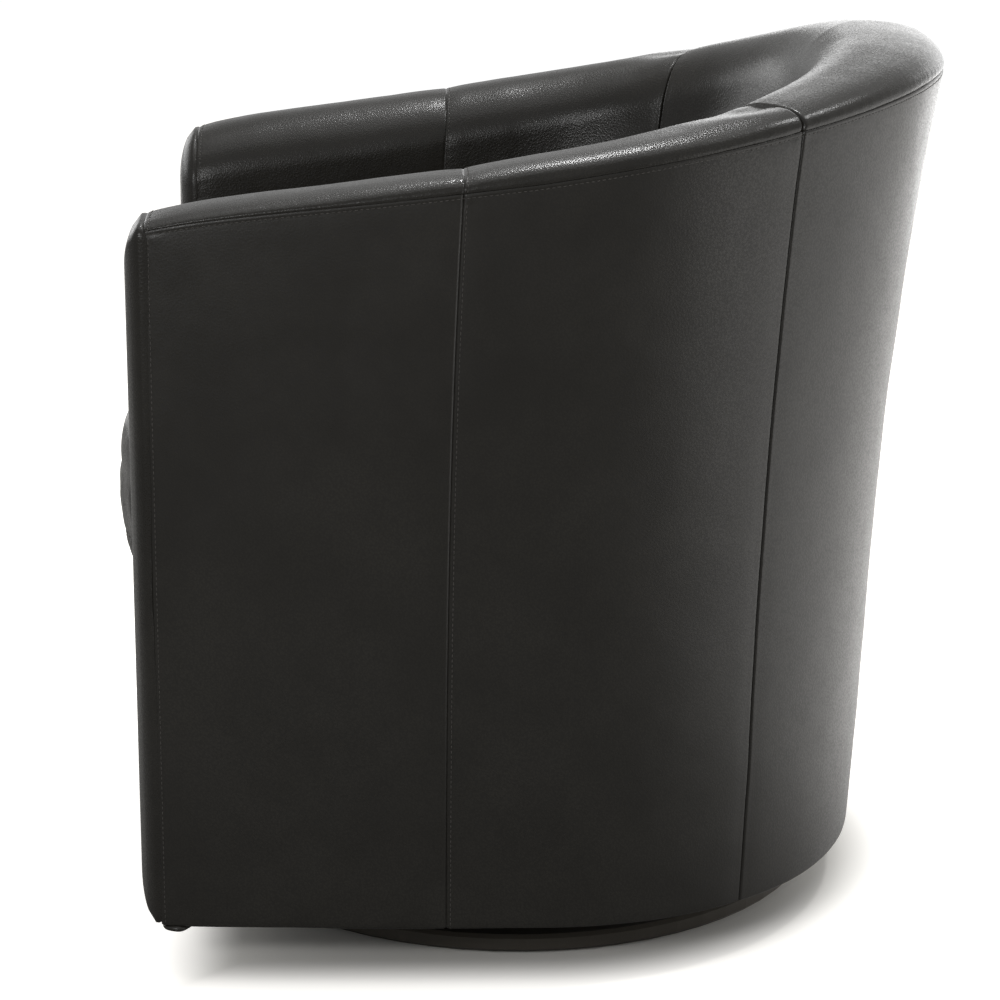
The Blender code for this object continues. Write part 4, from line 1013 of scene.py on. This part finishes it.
def make_dust_cloth(finish, staple):
    """The black cloth stretched under the chair, hemmed, stapled, and cut out round the swivel."""
    edge = cloth_edge(0.0)
    hole = edge / np.linalg.norm(edge, axis=1, keepdims=True) * CLOTH_HOLE
    loops = loops_between(edge, hole, 60)
    from_edge = np.linalg.norm(loops - edge[None], axis=-1)
    from_hole = np.linalg.norm(loops - hole[None], axis=-1)
    around = np.concatenate(([0.0], np.cumsum(np.linalg.norm(np.diff(edge, axis=0), axis=1))))[None]
    middle = np.clip(np.minimum(from_edge, from_hole) / CLOTH_SAG_REACH, 0.0, 1.0)
    sag = CLOTH_SAG * middle**2 * (3.0 - 2.0 * middle)
    gathers = CLOTH_GATHER * np.cos(around * math.tau / STAPLE_PITCH)
    gathers = gathers * np.exp(-from_edge / CLOTH_GATHER_REACH)
    hem = CLOTH_HEM_FOLD * np.clip((CLOTH_HEM - from_edge) / 0.001, 0.0, 1.0)
    height = CLOTH_TOP - CLOTH_THICKNESS - sag - gathers - hem
    grid = np.concatenate((loops, height[..., None]), -1)
    faces = grid_faces(*grid.shape[:2], wrap=True)
    piece = new_object("dust_cloth", grid.reshape(-1, 3), faces, finish)
    if piece.data.polygons[0].normal.z > 0.0:
        piece.data.flip_normals()
    thick = piece.modifiers.new("thick", "SOLIDIFY")
    thick.thickness = CLOTH_THICKNESS
    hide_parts("dust_cover")
    row = cloth_edge(CLOTH_HEM / 2)
    level = CLOTH_TOP - CLOTH_THICKNESS - CLOTH_HEM_FOLD - STAPLE_WIRE
    row = np.column_stack((row, np.full(len(row), level)))
    values = {"Pitch": STAPLE_PITCH, "Stitch Length": STAPLE_LENGTH, "Thread Radius": STAPLE_WIRE,
              "Thread": staple}
    tree = laid_tree("staples_along_line", "bar")
    bake("dust_cloth_staples", [np.concatenate((row, row[:1]))], tree, values)


def make_corner_tucks(finish):
    """The leather gathered into a small flat fold under the front corner of each arm."""
    around = np.linspace(0.0, math.tau, 40, endpoint=False)
    up = np.linspace(-TUCK_ROUND, TUCK_ROUND, 14)[:, None] * math.pi
    pleats = 1.0 + TUCK_PLEAT_DEPTH * np.sin(TUCK_PLEATS * around)[None] * np.cos(up)
    ring = np.cos(up) * pleats
    shape = np.stack((ring * np.cos(around), ring * np.sin(around), np.sin(up) * pleats), -1) * TUCK_SIZE
    for side, word in ((1, "left"), (-1, "right")):
        place = (TUCK_PLACE[0] * side, TUCK_PLACE[1], TUCK_PLACE[2])
        closed_piece(f"corner_tuck_{word}", shape + place, finish)


def put(tree, kind, settings=None, **values):
    """New node of a tree. Values are numbers, colours or sockets for its inputs, with _ for a space."""
    made = tree.nodes.new(kind)
    for key, value in (settings or {}).items():
        setattr(made, key, value)
    for key, value in values.items():
        numbered = key[0] == "i" and key[1:].isdigit()
        socket = made.inputs[int(key[1:]) if numbered else key.replace("_", " ")]
        if isinstance(value, bpy.types.NodeSocket):
            tree.links.new(value, socket)
        else:
            socket.default_value = value
    return made


def calculate(tree, operation, first, second=0.0):
    """Result of a Math node."""
    return put(tree, "ShaderNodeMath", {"operation": operation}, i0=first, i1=second).outputs[0]


def blend_colours(tree, share, dark, light):
    """Colour between two colours, by a share from 0 to 1."""
    mix = put(tree, "ShaderNodeMix", {"data_type": "RGBA"})
    for socket, value in (("Factor", share), ("A", dark), ("B", light)):
        found = [entry for entry in mix.inputs if entry.name == socket and entry.enabled][0]
        if isinstance(value, bpy.types.NodeSocket):
            tree.links.new(value, found)
        else:
            found.default_value = value if socket == "Factor" else (*value, 1.0)
    return [entry for entry in mix.outputs if entry.enabled][0]


def shader_group(name, inputs, outputs):
    """Empty shader node group with float inputs, a vector input and the outputs named."""
    tree = bpy.data.node_groups.new(name, "ShaderNodeTree")
    tree.interface.new_socket("Vector", in_out="INPUT", socket_type="NodeSocketVector")
    for entry in inputs:
        tree.interface.new_socket(entry, in_out="INPUT", socket_type="NodeSocketFloat")
    for entry in outputs:
        tree.interface.new_socket(entry, in_out="OUTPUT", socket_type="NodeSocketFloat")
    return tree, tree.nodes.new("NodeGroupInput").outputs, tree.nodes.new("NodeGroupOutput").inputs


def ramp(tree, value, low, high, first=0.0, last=1.0):
    """A value stretched so that low gives the first value and high the last, with soft ends."""
    made = put(tree, "ShaderNodeMapRange", {"interpolation_type": "SMOOTHSTEP"}, Value=value,
               From_Min=low, From_Max=high, To_Min=first, To_Max=last)
    return made.outputs["Result"]


def pebble_group():
    """Embossed pebbles of faux leather: their height, the creases between them, and slow mottling."""
    tree, given, result = shader_group("leather_pebbles", ("Cells Per Metre",),
                                       ("Height", "Crease", "Mottle"))
    warp = put(tree, "ShaderNodeTexNoise", Vector=given["Vector"], Scale=240.0, Detail=2.0)
    moved = put(tree, "ShaderNodeVectorMath", {"operation": "MULTIPLY_ADD"}, i0=warp.outputs["Color"],
                i1=(0.0016, 0.0016, 0.0016), i2=given["Vector"])
    cells = put(tree, "ShaderNodeTexVoronoi", {"feature": "SMOOTH_F1"}, Vector=moved.outputs[0],
                Scale=given["Cells Per Metre"], Smoothness=0.25)
    finer = calculate(tree, "MULTIPLY", given["Cells Per Metre"], 2.6)
    small = put(tree, "ShaderNodeTexVoronoi", {"feature": "SMOOTH_F1"}, Vector=moved.outputs[0], Scale=finer,
                Smoothness=0.3)
    creased = ramp(tree, cells.outputs["Distance"], 0.08, 0.80)
    pitted = ramp(tree, small.outputs["Distance"], 0.10, 0.80)
    lowered = calculate(tree, "MULTIPLY", pitted, 0.20)
    raised = calculate(tree, "SUBTRACT", 1.0, creased)
    tree.links.new(calculate(tree, "SUBTRACT", raised, lowered), result["Height"])
    tree.links.new(creased, result["Crease"])
    mottle = put(tree, "ShaderNodeTexNoise", Vector=given["Vector"], Scale=9.0, Detail=4.0, Roughness=0.65)
    tree.links.new(ramp(tree, mottle.outputs["Fac"], 0.3, 0.7), result["Mottle"])
    return tree


def wood_group():
    """Grain of planed wood along Z: fine streaks and slower bands."""
    tree, given, result = shader_group("wood_streaks", ("Streaks Per Metre",), ("Streak", "Band"))
    fine = given["Streaks Per Metre"]
    flat = put(tree, "ShaderNodeVectorMath", {"operation": "MULTIPLY"}, i0=given["Vector"],
               i1=(1.0, 1.0, 0.06))
    streak = put(tree, "ShaderNodeTexNoise", Vector=flat.outputs[0], Scale=fine, Detail=5.0)
    wide = calculate(tree, "MULTIPLY", fine, 0.12)
    band = put(tree, "ShaderNodeTexNoise", Vector=flat.outputs[0], Scale=wide, Detail=2.0, Distortion=1.4)
    tree.links.new(ramp(tree, streak.outputs["Fac"], 0.35, 0.65), result["Streak"])
    tree.links.new(ramp(tree, band.outputs["Fac"], 0.35, 0.65), result["Band"])
    return tree


def wear_group():
    """Fine scuffs and dust of a used surface."""
    tree, given, result = shader_group("light_wear", ("Scuffs Per Metre",), ("Scuff", "Dust"))
    stretched = put(tree, "ShaderNodeVectorMath", {"operation": "MULTIPLY"}, i0=given["Vector"],
                    i1=(1.0, 0.25, 1.0))
    scuff = put(tree, "ShaderNodeTexNoise", Vector=stretched.outputs[0], Scale=given["Scuffs Per Metre"],
                Detail=6.0)
    dust = put(tree, "ShaderNodeTexNoise", Vector=given["Vector"], Scale=14.0, Detail=5.0, Roughness=0.7)
    tree.links.new(ramp(tree, scuff.outputs["Fac"], 0.52, 0.75), result["Scuff"])
    tree.links.new(ramp(tree, dust.outputs["Fac"], 0.45, 0.8), result["Dust"])
    return tree


def new_material(name):
    """Empty material with its tree, its Principled shader and the object's coordinates."""
    made = bpy.data.materials.new(name)
    made.use_nodes = True
    tree = made.node_tree
    shader = tree.nodes["Principled BSDF"]
    place = tree.nodes.new("ShaderNodeTexCoord").outputs["Object"]
    return made, tree, shader, place


def use_group(tree, group, place, **values):
    """A node group placed in a material, reading the object's coordinates."""
    made = tree.nodes.new("ShaderNodeGroup")
    made.node_tree = group
    tree.links.new(place, made.inputs["Vector"])
    for key, value in values.items():
        made.inputs[key.replace("_", " ")].default_value = value
    return made.outputs


def add_bump(tree, shader, height, distance):
    """Bumps of a shader from a height."""
    bump = put(tree, "ShaderNodeBump", Height=height, Distance=distance, Strength=1.0)
    tree.links.new(bump.outputs["Normal"], shader.inputs["Normal"])


def charcoal_leather(pebbles, name, depth, gloss_range):
    """Pebbled charcoal faux leather with a soft gloss; the creases between the pebbles are painted darker as
    shade.
    """
    made, tree, shader, place = new_material(name)
    grain = use_group(tree, pebbles, place, Cells_Per_Metre=PEBBLES_PER_METRE)
    tone = blend_colours(tree, grain["Mottle"], LEATHER_DARK, LEATHER_LIGHT)
    # The creases between the pebbles are painted darker, as the shade that falls in them.
    share = calculate(tree, "MULTIPLY", grain["Crease"], 0.55)
    colour = blend_colours(tree, share, tone, LEATHER_CREASE_SHADE)
    tree.links.new(colour, shader.inputs["Base Color"])
    fine = put(tree, "ShaderNodeTexNoise", Vector=place, Scale=60.0, Detail=3.0)
    gloss = put(tree, "ShaderNodeMapRange", Value=fine.outputs["Fac"], To_Min=gloss_range[0],
                To_Max=gloss_range[1])
    dull = calculate(tree, "MULTIPLY", grain["Crease"], 0.12)
    tree.links.new(calculate(tree, "ADD", gloss.outputs[0], dull), shader.inputs["Roughness"])
    shader.inputs["Specular IOR Level"].default_value = 0.42
    add_bump(tree, shader, grain["Height"], depth)
    return made


def thread_material():
    """Grey-brown polyester thread with its twist, painted darker in the grooves between the plies as shade.
    """
    made, tree, shader, place = new_material("grey_brown_thread")
    twist = put(tree, "ShaderNodeTexWave", {"bands_direction": "DIAGONAL"}, Vector=place, Scale=900.0)
    # Painted shade: the twist's grooves, which the bump lowers, are darker.
    colour = blend_colours(tree, twist.outputs["Fac"], (0.040, 0.036, 0.032), (0.095, 0.088, 0.080))
    tree.links.new(colour, shader.inputs["Base Color"])
    shader.inputs["Roughness"].default_value = 0.55
    add_bump(tree, shader, twist.outputs["Fac"], 0.0001)
    return made


def wood_material(name, woods, dark, light, streaks, roughness):
    """Raw wood with its streaks."""
    made, tree, shader, place = new_material(name)
    grain = use_group(tree, woods, place, Streaks_Per_Metre=streaks)
    share = calculate(tree, "MULTIPLY", calculate(tree, "ADD", grain["Streak"], grain["Band"]), 0.5)
    tree.links.new(blend_colours(tree, share, dark, light), shader.inputs["Base Color"])
    worn = put(tree, "ShaderNodeMapRange", Value=grain["Streak"], To_Min=roughness - 0.08,
               To_Max=roughness + 0.08)
    tree.links.new(worn.outputs[0], shader.inputs["Roughness"])
    add_bump(tree, shader, grain["Streak"], 0.00012)
    return made


def metal_material(name, wear, colour, roughness):
    """Plated steel with fine scuffs."""
    made, tree, shader, place = new_material(name)
    marks = use_group(tree, wear, place, Scuffs_Per_Metre=260.0)
    darker = tuple(part * 0.72 for part in colour)
    tree.links.new(blend_colours(tree, marks["Dust"], colour, darker), shader.inputs["Base Color"])
    dull = put(tree, "ShaderNodeMapRange", Value=marks["Scuff"], To_Min=roughness, To_Max=roughness + 0.22)
    tree.links.new(dull.outputs[0], shader.inputs["Roughness"])
    shader.inputs["Metallic"].default_value = 1.0
    add_bump(tree, shader, marks["Scuff"], 0.00003)
    return made


def plain_wear_material(name, wear, dark, light, roughness, bump=0.0001, scuffs=180.0):
    """Moulded, felted or painted finish with slight dust and scuffs."""
    made, tree, shader, place = new_material(name)
    marks = use_group(tree, wear, place, Scuffs_Per_Metre=scuffs)
    tree.links.new(blend_colours(tree, marks["Dust"], dark, light), shader.inputs["Base Color"])
    dull = put(tree, "ShaderNodeMapRange", Value=marks["Scuff"], To_Min=roughness,
               To_Max=min(roughness + 0.15, 1.0))
    tree.links.new(dull.outputs[0], shader.inputs["Roughness"])
    add_bump(tree, shader, marks["Scuff"], bump)
    return made


def foam_material(wear):
    """Cream open-cell foam with its pores, painted darker inside as shade."""
    made, tree, shader, place = new_material("cream_foam")
    pores = put(tree, "ShaderNodeTexVoronoi", Vector=place, Scale=900.0)
    # Painted shade: the pores, which the bump sinks, are darker.
    share = ramp(tree, pores.outputs["Distance"], 0.1, 0.5)
    colour = blend_colours(tree, share, (0.50, 0.44, 0.30), (0.80, 0.75, 0.60))
    tree.links.new(colour, shader.inputs["Base Color"])
    shader.inputs["Roughness"].default_value = 0.95
    add_bump(tree, shader, pores.outputs["Distance"], 0.0004)
    return made


def make_finishes():
    """Materials of all the pieces by their slots, and of the thread."""
    pebbles, woods, wear = pebble_group(), wood_group(), wear_group()
    return {
        "charcoal_leather": charcoal_leather(pebbles, "charcoal_leather_skin", PEBBLE_DEPTH, (0.19, 0.27)),
        "smooth_panels": charcoal_leather(pebbles, "charcoal_leather_panels", PANEL_PEBBLE_DEPTH,
                                          (0.24, 0.33)),
        "thread": thread_material(),
        "black_base_board": plain_wear_material("black_painted_board", wear, (0.060, 0.053, 0.043),
                                                (0.085, 0.076, 0.063), 0.36, 0.00005),
        "birch_plywood": wood_material("raw_birch_ply", woods, (0.42, 0.29, 0.16), (0.66, 0.50, 0.31),
                                       300.0, 0.68),
        "poplar_frame": wood_material("planed_poplar", woods, (0.36, 0.27, 0.15), (0.60, 0.47, 0.28),
                                      260.0, 0.66),
        "brown_fibreboard": plain_wear_material("brown_hardboard", wear, (0.20, 0.12, 0.07),
                                                (0.30, 0.20, 0.12), 0.75),
        "pressed_steel": metal_material("zinc_plated_sheet", wear, (0.52, 0.52, 0.50), 0.32),
        "zinc_fasteners": metal_material("bright_zinc_screw", wear, (0.60, 0.60, 0.62), 0.26),
        "black_nylon": plain_wear_material("moulded_black_nylon", wear, (0.015, 0.015, 0.015),
                                           (0.05, 0.05, 0.048), 0.42),
        "grey_felt": plain_wear_material("needled_grey_felt", wear, (0.22, 0.21, 0.20),
                                         (0.36, 0.35, 0.33), 0.85, 0.0006, 900.0),
        "seat_foam": foam_material(wear),
        "black_dust_cloth": plain_wear_material("black_non_woven", wear, (0.008, 0.008, 0.008),
                                                (0.022, 0.021, 0.020), 0.85, 0.0003, 1400.0),
    }


def paint_frame(finishes):
    """Gives every CAD node the finish of its slot."""
    for entry in frame["record"]["subparts"]:
        mesh = frame["nodes"][entry["node"]].data
        finish = finishes[entry["material_slot"]]
        mesh.materials.clear()
        mesh.materials.append(finish)


def set_camera():
    """The photograph's camera, turned level on the object and pitched down."""
    forward = Vector((-math.cos(CAMERA_PITCH) * math.cos(CAMERA_YAW),
                      -math.cos(CAMERA_PITCH) * math.sin(CAMERA_YAW), -math.sin(CAMERA_PITCH)))
    right = forward.cross(Vector((0.0, 0.0, 1.0))).normalized()
    upward = right.cross(forward)
    turned_right = right * math.cos(CAMERA_ROLL) + upward * math.sin(CAMERA_ROLL)
    turned_up = upward * math.cos(CAMERA_ROLL) - right * math.sin(CAMERA_ROLL)
    lens = bpy.data.cameras.new("photo_camera")
    lens.lens = CAMERA_LENS
    lens.sensor_width = SENSOR
    lens.sensor_fit = "HORIZONTAL"
    camera = bpy.data.objects.new("photo_camera", lens)
    bpy.context.scene.collection.objects.link(camera)
    rotation = Matrix((turned_right, turned_up, -forward)).transposed()
    camera.matrix_world = Matrix.Translation(CAMERA_PLACE) @ rotation.to_4x4()
    bpy.context.scene.camera = camera


def add_light(name, place, target, size, watts):
    """A soft rectangular light that faces a point and isn't seen itself."""
    data = bpy.data.lights.new(name, "AREA")
    data.shape = "RECTANGLE"
    data.size, data.size_y = size
    data.energy = watts
    lamp = bpy.data.objects.new(name, data)
    bpy.context.scene.collection.objects.link(lamp)
    turn = (Vector(target) - Vector(place)).to_track_quat("-Z", "Y")
    lamp.matrix_world = Matrix.Translation(place) @ turn.to_matrix().to_4x4()
    lamp.visible_camera = False


def set_surroundings():
    """White studio: bright behind the chair, dim on the side that the photograph was taken from."""
    bpy.context.scene.view_settings.view_transform = "Standard"
    world = bpy.data.worlds.new("white_studio")
    bpy.context.scene.world = world
    world.use_nodes = True
    tree = world.node_tree
    background = tree.nodes["Background"]
    direction = tree.nodes.new("ShaderNodeTexCoord").outputs["Generated"]
    towards = put(tree, "ShaderNodeVectorMath", {"operation": "DOT_PRODUCT"}, i0=direction,
                  i1=WORLD_BRIGHT_WAY)
    sweep = ramp(tree, towards.outputs["Value"], WORLD_LOW, WORLD_HIGH, WORLD_DIM, WORLD_BRIGHT)
    seen = tree.nodes.new("ShaderNodeLightPath").outputs["Is Camera Ray"]
    strength = put(tree, "ShaderNodeMix", {"data_type": "FLOAT"}, i0=seen, i2=sweep, i3=WORLD_SEEN)
    tree.links.new(strength.outputs[0], background.inputs["Strength"])
    background.inputs["Color"].default_value = (1.0, 1.0, 1.0, 1.0)
    for lamp in LIGHTS:
        add_light(*lamp)


def make_floor():
    """Pale floor, white to the camera and greyer to other rays, with a painted shadow under the chair where
    its camera-seen glow fades out, and a painted glow behind the chair that lights the leather.
    """
    corners = ((-1, -1), (1, -1), (1, 1), (-1, 1))
    verts = [(x * FLOOR_REACH, y * FLOOR_REACH, 0) for x, y in corners]
    mesh = bpy.data.meshes.new("studio_floor")
    mesh.from_pydata(verts, [], [(0, 1, 2, 3)])
    floor = bpy.data.objects.new("studio_floor", mesh)
    bpy.context.scene.collection.objects.link(floor)
    made, tree, shader, place = new_material("white_floor")
    tree.nodes.remove(shader)
    seen = tree.nodes.new("ShaderNodeLightPath").outputs["Is Camera Ray"]
    paint = put(tree, "ShaderNodeBsdfDiffuse", Color=blend_colours(tree, seen, FLOOR_BOUNCE_COLOUR, FLOOR_SEEN))
    along = put(tree, "ShaderNodeVectorMath", {"operation": "DOT_PRODUCT"}, i0=place,
                i1=FLOOR_BRIGHT_WAY).outputs["Value"]
    # Painted light: for rays other than the camera's, the floor glows behind the chair and lights the
    # leather.
    behind = ramp(tree, along, FLOOR_GLOW_START, FLOOR_GLOW_FULL, 0.0, FLOOR_BACK_GLOW)
    parts = put(tree, "ShaderNodeSeparateXYZ", Vector=place)
    past_bend = calculate(tree, "SUBTRACT", parts.outputs["Y"], FLOOR_SHADE_BEND)
    behind_bend = calculate(tree, "MAXIMUM", past_bend)
    round_bend = put(tree, "ShaderNodeCombineXYZ", X=parts.outputs["X"], Y=behind_bend)
    length = put(tree, "ShaderNodeVectorMath", {"operation": "LENGTH"}, i0=round_bend.outputs[0])
    ahead = calculate(tree, "SUBTRACT", FLOOR_SHADE_AHEAD, parts.outputs["Y"])
    away = calculate(tree, "MAXIMUM", length.outputs["Value"], ahead)
    # Painted shadow: the glow that the camera sees fades out near the chair.
    faded = ramp(tree, away, FLOOR_SHADE_REACH, FLOOR_SHADE_END, 0.0, FLOOR_FAR_GLOW)
    glow = put(tree, "ShaderNodeMix", {"data_type": "FLOAT"}, i0=seen, i2=behind, i3=faded)
    shine = put(tree, "ShaderNodeEmission", Color=(*FLOOR_GLOW_COLOUR, 1.0), Strength=glow.outputs[0])
    both = put(tree, "ShaderNodeAddShader", i0=paint.outputs[0], i1=shine.outputs[0])
    tree.links.new(both.outputs[0], tree.nodes["Material Output"].inputs["Surface"])
    mesh.materials.append(made)


def main():
    """Builds the studio, the finishes and every piece that stands for a CAD node."""
    set_camera()
    set_surroundings()
    make_floor()
    finishes = make_finishes()
    paint_frame(finishes)
    leather = finishes["charcoal_leather"]
    outer = make_outer_leather(finishes["smooth_panels"])
    inner = make_inner_leather(leather)
    make_facings(leather)
    cushion = make_cushion(leather)
    make_front_leather(leather)
    make_corner_tucks(leather)
    make_backing_board(finishes["brown_fibreboard"])
    make_deck_felt(finishes["grey_felt"])
    make_dust_cloth(finishes["black_dust_cloth"], finishes["zinc_fasteners"])
    make_stitches(outer, inner, cushion_stitch_line(cushion), finishes["thread"])


main()
